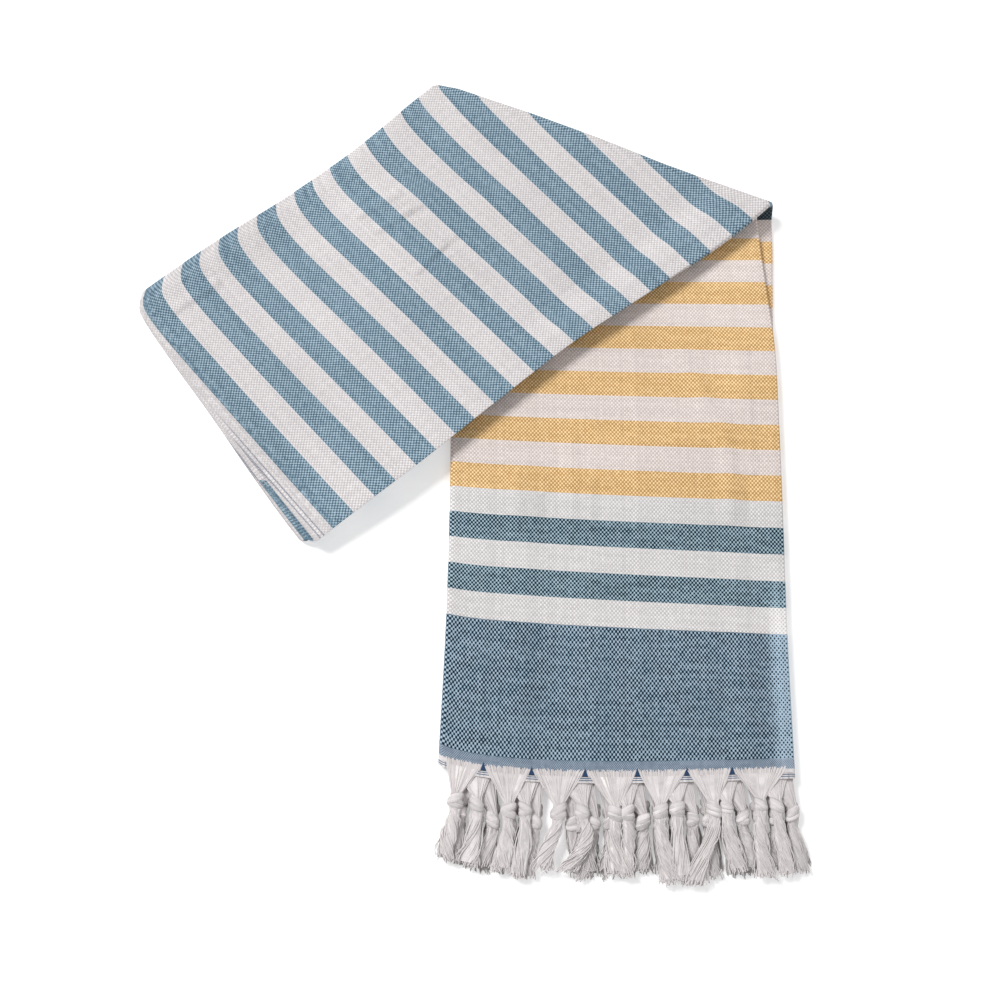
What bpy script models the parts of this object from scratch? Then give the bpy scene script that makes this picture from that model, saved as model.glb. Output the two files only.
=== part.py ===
"""A striped cotton hammam towel, folded into a strip and laid as a lopsided inverted V.

The cloth is one sheet. It is folded in half end to end, its two sides are turned in to the
middle, and it is folded in half again, which makes a strip of eight layers. The strip lies up
from its fringe (the lower arm), turns over at a slanting crease and comes back down over itself
(the upper arm), whose far half reaches the floor. The knotted tassels of each end hang from a
narrow heading of their own, folded in the same way as the cloth.

Metres, +Z up. The towel rests on z = 0 and its bounding box is centred on the origin.

Three sets of coordinates are used:
  sheet  s across the cloth, t along it, n through it (0 is the outer face of the folded towel)
  strip  w across the strip from its middle fold, v along it from the fringe, h height in the stack
  world  x, y, z
"""

import math
from collections import namedtuple

import bpy
import numpy as np

# Cloth
CLOTH_WIDTH = 0.990
THICKNESS = 0.0010
LAYER_GAP = 0.0004
HEADING = 0.014
WIDE_BAND = 0.091
STRIPE = 0.0192
STRIPES_TO_MIDDLE = 40.5
BAND_TOP = HEADING + WIDE_BAND
HALF_LENGTH = BAND_TOP + STRIPES_TO_MIDDLE * STRIPE

# Stack: height of one leaf, of a leaf with its side turned in, and of the whole strip
LEAF = 2 * THICKNESS + LAYER_GAP
DOUBLE_LEAF = 2 * LEAF + LAYER_GAP
STACK = 2 * DOUBLE_LEAF + LAYER_GAP
ARM_GAP = 0.0020

# Folds: the height of each fold's axis over the face it turns on, and the depth of its bend
FOLD_DEPTH = 0.70
END_AXIS = THICKNESS + LAYER_GAP / 2
SIDE_AXIS = LEAF + LAYER_GAP / 2
MIDDLE_AXIS = DOUBLE_LEAF + LAYER_GAP / 2
TURN_AXIS = STACK + ARM_GAP / 2
SELVEDGE_MARGIN = 0.005
SIDE_FOLD = (CLOTH_WIDTH / 2 - SELVEDGE_MARGIN) / 2
STRIP_WIDTH = CLOTH_WIDTH / 2 - SIDE_FOLD

# The plan of the strip before it is turned over: one row for each station along the cloth
Station = namedtuple("Station", "v left_x left_y right_x right_y hook sag")


def after_stripes(count):
    """Distance from the cloth's end to the edge of a stripe."""
    return BAND_TOP + count * STRIPE


STATIONS = (
    Station(0.0, -0.0435, -0.1910, 0.2070, -0.2015, -0.003, -0.0075),
    Station(after_stripes(0), -0.0395, -0.0885, 0.2090, -0.1045, -0.002, -0.0020),
    Station(after_stripes(6), -0.0380, 0.0280, 0.2135, 0.0160, 0.000, -0.0015),
    Station(after_stripes(12), -0.0400, 0.1420, 0.2172, 0.1380, 0.000, 0.0),
    Station(after_stripes(18), -0.0450, 0.2500, 0.2215, 0.2545, 0.002, 0.0),
    Station(after_stripes(24), -0.0530, 0.3590, 0.2065, 0.3730, 0.006, 0.0025),
    Station(after_stripes(28), -0.0555, 0.4375, 0.1940, 0.4465, 0.009, 0.0),
    Station(after_stripes(32), -0.0665, 0.5095, 0.1865, 0.5255, 0.010, 0.0),
    Station(after_stripes(36), -0.0780, 0.5835, 0.1805, 0.6015, 0.010, 0.0),
    Station(HALF_LENGTH, -0.0860, 0.6655, 0.1700, 0.6880, 0.009, 0.0),
)
HOOK_WIDTH = 0.016
SAG_POWER = 0.63
BOX_CENTRE = (-0.03102, 0.03832)

# The slanting crease, by its two ends in the same plan
CREASE_LEFT = (-0.0575, 0.3592)
CREASE_RIGHT = (0.2180, 0.2446)

# The crease bows outwards: shares of its length, and how far it stands out there
Bow = namedtuple("Bow", "share out")
BOWS = (
    Bow(0.0, 0.0),
    Bow(0.08, 0.0044),
    Bow(0.3, 0.0058),
    Bow(0.5, 0.0054),
    Bow(0.7, 0.0028),
    Bow(1.0, 0.0030),
)
BOW_RUN = 0.045

# The end fold lies askew on the stripes: shares of the strip's width, and how far it is moved
Skew = namedtuple("Skew", "share along")
SKEWS = (Skew(0.0, -0.0062), Skew(0.31, -0.0008), Skew(1.0, 0.0045))

# How the leaves part: steps at the far end, and the upper leaf drawn in at the side folds
END_RUN = 0.250
LEAF_STEP = 0.010
STEP_FROM = 0.20
LEAF_INSET = 0.050
INSET_FROM = 0.300
INSET_TO = 0.440
EVEN_FROM = 0.500
EVEN_TO = 0.600
CORNER_ROUND = 0.018
CORNER_CUT = 0.010

# The middle fold of the upper arm is left soft: a low roll beside it
PUFF_HEIGHT = 0.0032
PUFF_PLACE = 0.015
PUFF_WIDTH = 0.014
PUFF_FROM = 0.560
PUFF_TO = 0.640

# The upper arm comes down to the floor beside the lower arm, between these two lines
DROP_FROM = -0.066
DROP_TO = -0.190
DROP = STACK + ARM_GAP

# Main creases and ripples, as low ridges (or troughs) between two points of the plan
Crease = namedtuple("Crease", "arm x0 y0 x1 y1 width height")
CREASES = (
    Crease("lower", 0.014, -0.150, 0.020, 0.020, 0.030, 0.0012),
    Crease("lower", 0.168, 0.110, 0.150, 0.030, 0.024, 0.0014),
    Crease("lower", 0.186, -0.140, 0.190, 0.060, 0.022, -0.0008),
    Crease("upper", -0.110, 0.245, 0.010, 0.245, 0.030, 0.0016),
    Crease("upper", -0.200, 0.120, -0.120, 0.040, 0.034, 0.0014),
    Crease("upper", 0.020, 0.180, 0.130, 0.220, 0.026, -0.0008),
)

# Mesh steps
FLAT_COLUMNS = 5
SIDE_FOLD_STEPS = 4
MIDDLE_FOLD_STEPS = 6
END_FOLD_STEPS = 4
LOWER_ROWS = 8
TURN_ROWS = 6
UPPER_ROWS = 14

# Fringe: tassels in a panel between two folds, the places where they lie, and the headings
TASSELS_IN_PANEL = 7
TASSELS_FROM = 0.0058
TASSELS_TO = 0.2478
TASSEL_PITCH = (TASSELS_TO - TASSELS_FROM) / TASSELS_IN_PANEL
ROOT_GAP = 0.0015
SLOT = 0.0114
SLOT_SHIFT = 0.0050
SEAM_GAP = 0.0003
STRIP_DEPTH = 0.0040
NECK_OUT = 0.0190
NECK_WIDTH = 0.0085
SWAY = 0.0030
SWAY_WAVE = 0.130
SPREAD = 0.008
LENGTH_SPREAD = 0.06

# One tassel below its neck: distance from the cloth, width, thickness and height of its underside
Section = namedtuple("Section", "out width thickness under")
LEVELS = (
    (
        Section(0.0240, 0.0098, 0.0062, 0.0000),
        Section(0.0300, 0.0102, 0.0062, 0.0000),
        Section(0.0325, 0.0074, 0.0036, 0.0000),
        Section(0.0500, 0.0098, 0.0040, 0.0000),
        Section(0.0690, 0.0108, 0.0030, 0.0000),
    ),
    (
        Section(0.0240, 0.0074, 0.0016, 0.0066),
        Section(0.0300, 0.0074, 0.0016, 0.0066),
        Section(0.0345, 0.0096, 0.0058, 0.0043),
        Section(0.0405, 0.0100, 0.0058, 0.0043),
        Section(0.0430, 0.0074, 0.0034, 0.0043),
        Section(0.0550, 0.0098, 0.0036, 0.0044),
        Section(0.0700, 0.0108, 0.0028, 0.0037),
    ),
    (
        Section(0.0240, 0.0098, 0.0058, 0.0086),
        Section(0.0300, 0.0102, 0.0058, 0.0086),
        Section(0.0335, 0.0076, 0.0030, 0.0105),
        Section(0.0410, 0.0084, 0.0032, 0.0105),
        Section(0.0480, 0.0096, 0.0036, 0.0086),
        Section(0.0600, 0.0102, 0.0034, 0.0082),
        Section(0.0710, 0.0108, 0.0026, 0.0072),
    ),
)

# Where the tassels of each layer go, counted from the bottom of the stack
Place = namedtuple("Place", "slot level")
PLACES = (
    Place(-1, 0),
    Place(0, 0),
    Place(1, 0),
    Place(-1, 1),
    Place(0, 1),
    Place(1, 1),
    Place(0, 2),
    Place(-1, 2),
)

COTTON = ("striped_cotton", (0.62, 0.66, 0.70, 1.0), 0.90)
YARN = ("fringe_yarn", (0.80, 0.78, 0.76, 1.0), 0.92)


def smooth(x):
    """A soft step from 0 to 1."""
    x = np.clip(x, 0.0, 1.0)
    return x * x * (3 - 2 * x)


def fold_over(x, z, line, axis):
    """Turn what lies beyond a line back over the rest, about an axis this high over z = 0.

    The outermost face just reaches the line, and no two layers cross.
    """
    reach = FOLD_DEPTH * axis
    turn = math.pi * np.clip((x - line + reach) / (2 * reach), 0.0, 1.0)
    radius = axis - z
    bent = line - reach + FOLD_DEPTH * radius * np.sin(turn)
    flat = np.where(x > line, 2 * line - x, x)
    return np.where(np.abs(x - line) < reach, bent, flat), axis - radius * np.cos(turn)


def across_folds(s, h):
    """The two side folds and the middle fold: place across the strip, and height in it."""
    x, h = fold_over(-s, h, -SIDE_FOLD, SIDE_AXIS)
    s = -x
    s, h = fold_over(s, h, CLOTH_WIDTH - SIDE_FOLD, SIDE_AXIS)
    s, h = fold_over(s, h, CLOTH_WIDTH / 2, MIDDLE_AXIS)
    return CLOTH_WIDTH / 2 - s, h


def sheet_to_strip(s, t, n):
    """All the folds that make the strip."""
    v, h = fold_over(t, n, HALF_LENGTH, END_AXIS)
    w, h = across_folds(s, h)
    return w, v, h


def along_stations(v, column):
    """A smooth curve through one column of the stations, straight beyond their ends."""
    places = np.array([station.v for station in STATIONS])
    values = np.array([getattr(station, column) for station in STATIONS])
    slopes = np.gradient(values, places)
    k = np.clip(np.searchsorted(places, v) - 1, 0, len(places) - 2)
    step = places[k + 1] - places[k]
    x = np.clip((v - places[k]) / step, 0.0, 1.0)
    inside = (
        values[k] * (1 + 2 * x) * (1 - x) ** 2
        + values[k + 1] * x * x * (3 - 2 * x)
        + step * slopes[k] * x * (1 - x) ** 2
        - step * slopes[k + 1] * x * x * (1 - x)
    )
    beyond = slopes[0] * np.minimum(v, 0.0) + slopes[-1] * np.maximum(v - HALF_LENGTH, 0.0)
    return inside + beyond


def plan(w, v):
    """The strip laid out flat, before it is turned over at the crease."""
    share = w / STRIP_WIDTH
    hook = along_stations(v, "hook") * (1 - np.exp(-np.abs(w) / HOOK_WIDTH)) * (1 - share)
    left = along_stations(v, "left_x"), along_stations(v, "left_y")
    right = along_stations(v, "right_x"), along_stations(v, "right_y")
    sag = along_stations(v, "sag") * np.sin(math.pi * np.clip(share, 0.0, 1.0) ** SAG_POWER)
    x = left[0] + (right[0] - left[0]) * share
    y = left[1] + (right[1] - left[1]) * share + hook + sag
    return x, y


def part_leaves(w, v, h):
    """Step the leaves at the far end, draw the upper leaf in, and swell the soft middle fold."""
    share = h / STACK
    across = w / STRIP_WIDTH
    upper_leaf = smooth((h - DOUBLE_LEAF) / LAYER_GAP)
    upper_leaf += (share - upper_leaf) * smooth((v - EVEN_FROM) / (EVEN_TO - EVEN_FROM))
    inset = LEAF_INSET * smooth((v - INSET_FROM) / (INSET_TO - INSET_FROM)) * upper_leaf
    end = smooth((v - HALF_LENGTH + END_RUN) / END_RUN)
    corner = CORNER_CUT * np.clip(1 - w / CORNER_ROUND, 0.0, 1.5) ** 2
    step = LEAF_STEP * share * smooth((across - STEP_FROM) / (1 - STEP_FROM))
    skew = np.interp(across, [skew.share for skew in SKEWS], [skew.along for skew in SKEWS])
    puff = PUFF_HEIGHT * np.exp(-(((w - PUFF_PLACE) / PUFF_WIDTH) ** 2))
    puff = puff * smooth((v - PUFF_FROM) / (PUFF_TO - PUFF_FROM))
    return w * (1 - inset), v + end * (step + skew - corner), h - puff * (1 - share)


def crease_frame():
    """The crease's first point, its direction and the direction across it."""
    start = np.array(CREASE_LEFT)
    run = np.array(CREASE_RIGHT) - start
    run = run / np.linalg.norm(run)
    return start, run, np.array((-run[1], run[0]))


def beyond_crease(w, v, h):
    """How far a point of the strip lies beyond the crease before the strip is turned over."""
    start, _, across = crease_frame()
    w, v, _ = part_leaves(w, v, h)
    x, y = plan(w, v)
    return (x - start[0]) * across[0] + (y - start[1]) * across[1]


def ridge(crease, x, y):
    """The height that one crease adds at a point of the plan."""
    run = np.array((crease.x1 - crease.x0, crease.y1 - crease.y0))
    length = np.linalg.norm(run)
    run = run / length
    along = (x - crease.x0) * run[0] + (y - crease.y0) * run[1]
    off = (y - crease.y0) * run[0] - (x - crease.x0) * run[1]
    past = np.maximum(np.maximum(-along, along - length), 0.0)
    return crease.height * np.exp(-(off**2 + past**2) / (crease.width / 2) ** 2)


def strip_to_world(w, v, h):
    """Lay the strip out, turn it over at the crease and let its upper arm down to the floor."""
    w, v, h = part_leaves(w, v, h)
    x, y = plan(w, v)
    start, run, across = crease_frame()
    along = (x - start[0]) * run[0] + (y - start[1]) * run[1]
    off = (x - start[0]) * across[0] + (y - start[1]) * across[1]
    off, z = fold_over(off, h, 0.0, TURN_AXIS)
    length = math.dist(CREASE_LEFT, CREASE_RIGHT)
    bow = np.interp(along / length, [bow.share for bow in BOWS], [bow.out for bow in BOWS])
    off = off + bow * np.exp(np.minimum(off, 0.0) / BOW_RUN)
    x = start[0] + along * run[0] + off * across[0]
    y = start[1] + along * run[1] + off * across[1]
    lower = np.clip(z / STACK, 0.0, 1.0)
    upper = np.clip((z - DROP) / STACK, 0.0, 1.0)
    for crease in CREASES:
        z = z + ridge(crease, x, y) * (lower if crease.arm == "lower" else upper)
    z = z - DROP * smooth((DROP_FROM - x) / (DROP_FROM - DROP_TO))
    return np.stack((x - BOX_CENTRE[0], y - BOX_CENTRE[1], z), axis=-1)


def when_beyond(w, h, distance):
    """The place along the strip where each column is this far beyond the crease."""
    low = np.full_like(w, 0.3)
    high = np.full_like(w, 0.7)
    for _ in range(40):
        middle = (low + high) / 2
        past = beyond_crease(w, middle, h) > distance
        high = np.where(past, middle, high)
        low = np.where(past, low, middle)
    return (low + high) / 2


def rows_along(w, h):
    """Places along the strip for each column, with rows parallel to the crease where it turns."""
    reach = FOLD_DEPTH * TURN_AXIS
    turn = [when_beyond(w, h, reach * (2 * k / TURN_ROWS - 1)) for k in range(TURN_ROWS + 1)]
    end = HALF_LENGTH - FOLD_DEPTH * END_AXIS
    lower = [turn[0] * k / LOWER_ROWS for k in range(LOWER_ROWS)]
    upper = [turn[-1] + (end - turn[-1]) * k / UPPER_ROWS for k in range(1, UPPER_ROWS + 1)]
    return np.array(lower + turn + upper)


def spaced(first, last, steps):
    """Evenly spaced places, the last one left out."""
    return [first + (last - first) * k / steps for k in range(steps)]


def columns_across(panel):
    """Places across the cloth for the mesh's columns; panel gives those of one flat panel.

    A panel's places are distances from the strip's middle fold, from the selvedge outwards, and
    every layer has the same ones, so that the facets of neighbouring layers lie parallel.
    """
    side = FOLD_DEPTH * SIDE_AXIS
    middle = FOLD_DEPTH * MIDDLE_AXIS
    turned_in = [SIDE_FOLD - (STRIP_WIDTH - w) for w in panel]
    facing = [CLOTH_WIDTH / 2 - w for w in reversed(panel)]
    half = turned_in + spaced(SIDE_FOLD - side, SIDE_FOLD + side, SIDE_FOLD_STEPS)
    half += [SIDE_FOLD + side] + facing
    bend = spaced(CLOTH_WIDTH / 2 - middle, CLOTH_WIDTH / 2 + middle, MIDDLE_FOLD_STEPS)
    return np.array(half + bend + [CLOTH_WIDTH / 2 + middle] + [CLOTH_WIDTH - s for s in reversed(half)])


def make_object(name, points, faces, finish):
    """A mesh object with its own material."""
    mesh = bpy.data.meshes.new(name)
    mesh.from_pydata([tuple(point) for point in points], [], faces)
    mesh.validate()
    colour_name, colour, roughness = finish
    material = bpy.data.materials.get(colour_name) or bpy.data.materials.new(colour_name)
    material.use_nodes = True
    shader = material.node_tree.nodes["Principled BSDF"]
    shader.inputs["Base Color"].default_value = colour
    shader.inputs["Roughness"].default_value = roughness
    shader.inputs["Metallic"].default_value = 0.0
    mesh.materials.append(material)
    mesh.shade_smooth()
    mesh.set_sharp_from_angle(angle=math.radians(35))
    obj = bpy.data.objects.new(name, mesh)
    bpy.context.scene.collection.objects.link(obj)
    return obj


class Sheet:
    """A folded sheet with two faces, kept as a grid of points: face, row along, column across."""

    def __init__(self, s, t, n_faces=(0.0, THICKNESS)):
        self.rows, self.columns = t[0].shape
        self.w, self.v, h = sheet_to_strip(s, t, np.array(n_faces)[:, None, None] + 0 * t)
        self.points = list(strip_to_world(self.w, self.v, h).reshape(-1, 3))
        self.faces = []

    def index(self, face, row, column):
        """The number of a grid point."""
        return (face * self.rows + row) * self.columns + column

    def cell(self, face, row, column):
        """Two triangles of one face, split the same way in every layer of the strip."""
        corners = [(row, column), (row, column + 1), (row + 1, column + 1), (row + 1, column)]
        a, b, c, d = (self.index(face, *corner) for corner in corners)
        rise = self.v[face, row + 1, column] - self.v[face, row, column]
        run = self.w[face, row, column + 1] - self.w[face, row, column]
        split = [(a, b, c), (a, c, d)] if rise * run > 0 else [(a, b, d), (b, c, d)]
        return [triangle[::-1] for triangle in split] if face else split

    def add_faces(self):
        """Both faces of the sheet."""
        for face in (0, 1):
            for row in range(self.rows - 1):
                for column in range(self.columns - 1):
                    self.faces += self.cell(face, row, column)

    def rim(self, row, column, next_row, next_column):
        """One quad of the edge, between two neighbouring grid points."""
        return (
            self.index(0, next_row, next_column),
            self.index(0, row, column),
            self.index(1, row, column),
            self.index(1, next_row, next_column),
        )

    def add_sides(self):
        """The two edges that run along the cloth."""
        last = self.columns - 1
        for row in range(self.rows - 1):
            self.faces.append(self.rim(row + 1, 0, row, 0))
            self.faces.append(self.rim(row, last, row + 1, last))

    def add_first_end(self, columns=None):
        """The edge at the first row."""
        for column in columns or range(self.columns - 1):
            self.faces.append(self.rim(0, column, 0, column + 1))

    def add_last_end(self, columns=None):
        """The edge at the last row."""
        last = self.rows - 1
        for column in columns or range(self.columns - 1):
            self.faces.append(self.rim(last, column + 1, last, column))


def both_plies(s, n):
    """Places along the cloth for each column, from one fringed end to the other."""
    bend = FOLD_DEPTH * END_AXIS
    _, lower_h = across_folds(s, n + 0 * s)
    w, upper_h = across_folds(s, 2 * END_AXIS - n + 0 * s)
    first = rows_along(w, lower_h)
    second = 2 * HALF_LENGTH - rows_along(w, upper_h)[::-1]
    turn = [np.full_like(s, t) for t in spaced(HALF_LENGTH - bend, HALF_LENGTH + bend, END_FOLD_STEPS)]
    return np.concatenate((first, np.array(turn[1:]), second))


def make_cloth():
    """The cloth of the towel."""
    flat = spaced(SELVEDGE_MARGIN, STRIP_WIDTH - FOLD_DEPTH * SIDE_AXIS, FLAT_COLUMNS)
    s = columns_across(flat)
    t = np.array([both_plies(s, n) for n in (0.0, THICKNESS)])
    sheet = Sheet(s, t)
    sheet.add_faces()
    sheet.add_sides()
    sheet.add_first_end()
    sheet.add_last_end()
    return make_object("towel", sheet.points, sheet.faces, COTTON)


def tassel_edges():
    """The two sides of each tassel's root, as distances from the strip's middle fold."""
    edges = []
    for k in range(TASSELS_IN_PANEL):
        start = TASSELS_FROM + k * TASSEL_PITCH
        edges += [start + ROOT_GAP / 2, start + TASSEL_PITCH - ROOT_GAP / 2]
    return edges


def sway(w, out):
    """Tassels spread a little, and lean to one side and the other, more towards their tips."""
    lean = SWAY * np.sin(2 * math.pi * w / SWAY_WAVE) + SPREAD * (2 * w / STRIP_WIDTH - 1)
    return lean * smooth(out / LEVELS[2][-1].out)


def tassel_rings(w_centre, layer, turn):
    """The four corners of each section of one tassel, from its neck to its tip."""
    place = PLACES[layer]
    middle = w_centre + SLOT_SHIFT + place.slot * SLOT
    sections = [Section(NECK_OUT, NECK_WIDTH, THICKNESS, layer * (THICKNESS + LAYER_GAP))]
    sections += LEVELS[place.level]
    stretch = 1 + LENGTH_SPREAD * math.sin(2.4 * turn + layer)
    last = sections[-1]
    sections[-1] = last._replace(out=last.out * stretch)
    rings = []
    for section in sections:
        half = section.width / 2
        top = section.under + section.thickness
        corners = [(-half, section.under), (half, section.under), (half, top), (-half, top)]
        w = np.array([middle + side for side, _ in corners])
        h = np.array([height for _, height in corners])
        w = w + sway(w, section.out)
        rings.append(strip_to_world(w, np.full(4, -section.out), h))
    return rings


def add_tassel(sheet, end_row, column, number):
    """Draw one tassel out of the edge of its heading, between two columns."""
    low, high = (sheet.w[0, end_row, column], sheet.w[0, end_row, column + 1])
    left, right = (column, column + 1) if low < high else (column + 1, column)
    under, over = (0, 1) if sheet.face_up(column) else (1, 0)
    ring = [
        sheet.index(under, end_row, left),
        sheet.index(under, end_row, right),
        sheet.index(over, end_row, right),
        sheet.index(over, end_row, left),
    ]
    for corners in tassel_rings((low + high) / 2, sheet.layer(column), number):
        first = len(sheet.points)
        sheet.points += list(corners)
        following = list(range(first, first + 4))
        for k in range(4):
            m = (k + 1) % 4
            sheet.faces.append((ring[k], ring[m], following[m], following[k]))
        ring = following
    sheet.faces.append(tuple(ring))


class Heading(Sheet):
    """The narrow heading at one end of the cloth, with its place in the folded stack."""

    def __init__(self, s, t, second_ply):
        super().__init__(s, t)
        self.s = s
        self.second_ply = second_ply

    def panel(self, column):
        """Which of the four panels a column lies in, from the first selvedge."""
        middle = (self.s[column] + self.s[column + 1]) / 2
        return int(np.searchsorted((SIDE_FOLD, CLOTH_WIDTH / 2, CLOTH_WIDTH - SIDE_FOLD), middle))

    def layer(self, column):
        """The layer of the stack, from the bottom, that a column belongs to."""
        outer = (3, 0, 7, 4)[self.panel(column)]
        inner = (2, 1, 6, 5)[self.panel(column)]
        return inner if self.second_ply else outer

    def face_up(self, column):
        """Whether the second face of the sheet looks up there."""
        return (self.panel(column) in (1, 3)) != self.second_ply


def make_fringe(name, second_ply):
    """One end's heading with its tassels."""
    s = columns_across(tassel_edges())
    v = np.array((-SEAM_GAP - STRIP_DEPTH, -SEAM_GAP))
    t = 2 * HALF_LENGTH - v[::-1] if second_ply else v
    t = np.broadcast_to(t[None, :, None], (2, 2, len(s)))
    heading = Heading(s, t, second_ply)
    heading.add_faces()
    heading.add_sides()
    end_row = 1 if second_ply else 0
    w = heading.w[0, end_row]
    root = TASSEL_PITCH - ROOT_GAP
    roots = [k for k in range(len(s) - 1) if abs(abs(w[k + 1] - w[k]) - root) < ROOT_GAP / 10]
    rest = [k for k in range(len(s) - 1) if k not in roots]
    heading.add_first_end(None if second_ply else rest)
    heading.add_last_end(rest if second_ply else None)
    for number, column in enumerate(roots):
        add_tassel(heading, end_row, column, number)
    return make_object(name, heading.points, heading.faces, YARN)


def main():
    """Clear the scene and build the towel."""
    for obj in list(bpy.data.objects):
        bpy.data.objects.remove(obj)
    make_cloth()
    make_fringe("fringe_first_end", False)
    make_fringe("fringe_second_end", True)


main()
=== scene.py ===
"""The look of a striped cotton hammam towel, laid folded in a lopsided inverted V.

The towel is one sheet. Its folds are those of the CAD, with more rows and columns, its main
creases and a woven finish. Each end has a fringe of knotted tassels, made of single yarns.

Metres, +Z up, in the frame of the CAD. Three sets of coordinates are used:
  sheet  s across the cloth, t along it, n through it (0 is the outer face of the folded towel)
  strip  w across the strip from its middle fold, v along it from the fringe, h height in the stack
  world  x, y, z
"""

import logging
import math
from collections.abc import Sequence
from dataclasses import dataclass
from enum import Enum
from typing import NamedTuple

import bpy
import numpy as np
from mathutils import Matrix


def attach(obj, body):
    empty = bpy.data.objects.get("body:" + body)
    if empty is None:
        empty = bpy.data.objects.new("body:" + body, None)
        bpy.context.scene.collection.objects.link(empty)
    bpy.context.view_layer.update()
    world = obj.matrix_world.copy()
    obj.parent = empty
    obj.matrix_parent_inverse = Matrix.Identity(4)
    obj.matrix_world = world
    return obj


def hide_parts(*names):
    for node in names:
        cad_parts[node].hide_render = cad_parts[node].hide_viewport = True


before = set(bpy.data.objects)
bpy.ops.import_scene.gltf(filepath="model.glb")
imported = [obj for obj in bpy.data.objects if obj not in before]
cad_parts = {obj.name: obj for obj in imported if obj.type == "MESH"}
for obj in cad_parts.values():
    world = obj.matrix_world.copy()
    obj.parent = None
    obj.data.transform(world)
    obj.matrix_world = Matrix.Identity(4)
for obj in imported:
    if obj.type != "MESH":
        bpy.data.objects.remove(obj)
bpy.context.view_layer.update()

LOG = logging.getLogger("scene")

Colour = tuple[float, float, float, float]
Range = tuple[float, float]
Input = "Value | bpy.types.NodeSocket | float | int | bool | str | tuple"


def srgb(red: int, green: int, blue: int) -> Colour:
    """Turn a display colour of 0 to 255 into a linear one.

    Args:
        red: Red, 0 to 255.
        green: Green, 0 to 255.
        blue: Blue, 0 to 255.

    Returns:
        The linear colour, with an alpha of 1.
    """
    parts = (value / 255 for value in (red, green, blue))
    linear = [p / 12.92 if p <= 0.04045 else ((p + 0.055) / 1.055) ** 2.4 for p in parts]
    return (linear[0], linear[1], linear[2], 1.0)


def smooth(x: np.ndarray | float) -> np.ndarray:
    """A soft step from 0 to 1."""
    x = np.clip(x, 0.0, 1.0)
    return x * x * (3 - 2 * x)


def ramp(x: np.ndarray, low: float, high: float) -> np.ndarray:
    """A soft step from 0 at one value to 1 at another."""
    return smooth((x - low) / (high - low))


def linked(name: str, data: bpy.types.ID) -> bpy.types.Object:
    """A new object in the scene.

    Args:
        name: Its name.
        data: Its mesh, light or camera.

    Returns:
        The object.
    """
    obj = bpy.data.objects.new(name, data)
    bpy.context.scene.collection.objects.link(obj)
    return obj


def write_uvs(mesh: bpy.types.Mesh, maps: dict[str, np.ndarray]) -> None:
    """Give a mesh its UV maps.

    Args:
        mesh: The mesh.
        maps: One row for each face corner, by the name of the map.
    """
    for title, places in maps.items():
        layer = mesh.uv_layers.new(name=title)
        layer.uv.foreach_set("vector", places.astype(np.float32).ravel())


def spaced(first: float, last: float, steps: int) -> list[float]:
    """Evenly spaced places, the last one left out."""
    return [first + (last - first) * k / steps for k in range(steps)]


# Sizes and folds


class Arm(Enum):
    """The two arms of the V."""

    LOWER = "lower"
    UPPER = "upper"


class Ply(Enum):
    """The two halves of the cloth, from its first end and from its second end."""

    FIRST = 0
    SECOND = 1


class Station(NamedTuple):
    """The two sides of the strip's plan at one distance along the cloth.

    Attributes:
        v: Distance along the strip, from the fringe.
        left_x: Where the middle fold lies.
        left_y: The same.
        right_x: Where the side folds lie.
        right_y: The same.
        hook: How far the stripes bend beside the middle fold.
        sag: How far they sag between the folds.
    """

    v: float
    left_x: float
    left_y: float
    right_x: float
    right_y: float
    hook: float
    sag: float


class Skew(NamedTuple):
    """How askew the end fold lies at one place.

    Attributes:
        share: The place, as a share of the strip's width.
        along: How far the fold is moved along the strip.
    """

    share: float
    along: float


class Bow(NamedTuple):
    """How the slanting crease bows at one place.

    Attributes:
        share: The place, as a share of the crease's length.
        out: How far it stands out.
    """

    share: float
    out: float


class Crease(NamedTuple):
    """A soft ridge, or a trough where its height is negative.

    Attributes:
        arm: The arm that it lies on.
        width: Its width.
        height: Its height.
        depth: Which layers it moves: 1 moves every layer, a higher one mostly the outer ones.
        line: Places in the plan that it runs through.
    """

    arm: Arm
    width: float
    height: float
    depth: float
    line: tuple[tuple[float, float], ...]


class Rumple(NamedTuple):
    """A small crease in the surface, by place from the middle fold and distance from the nearer end.

    Attributes:
        width: Half its width.
        height: Its height, negative for a trough.
        start: One end.
        end: The other end.
    """

    width: float
    height: float
    start: tuple[float, float]
    end: tuple[float, float]


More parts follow.
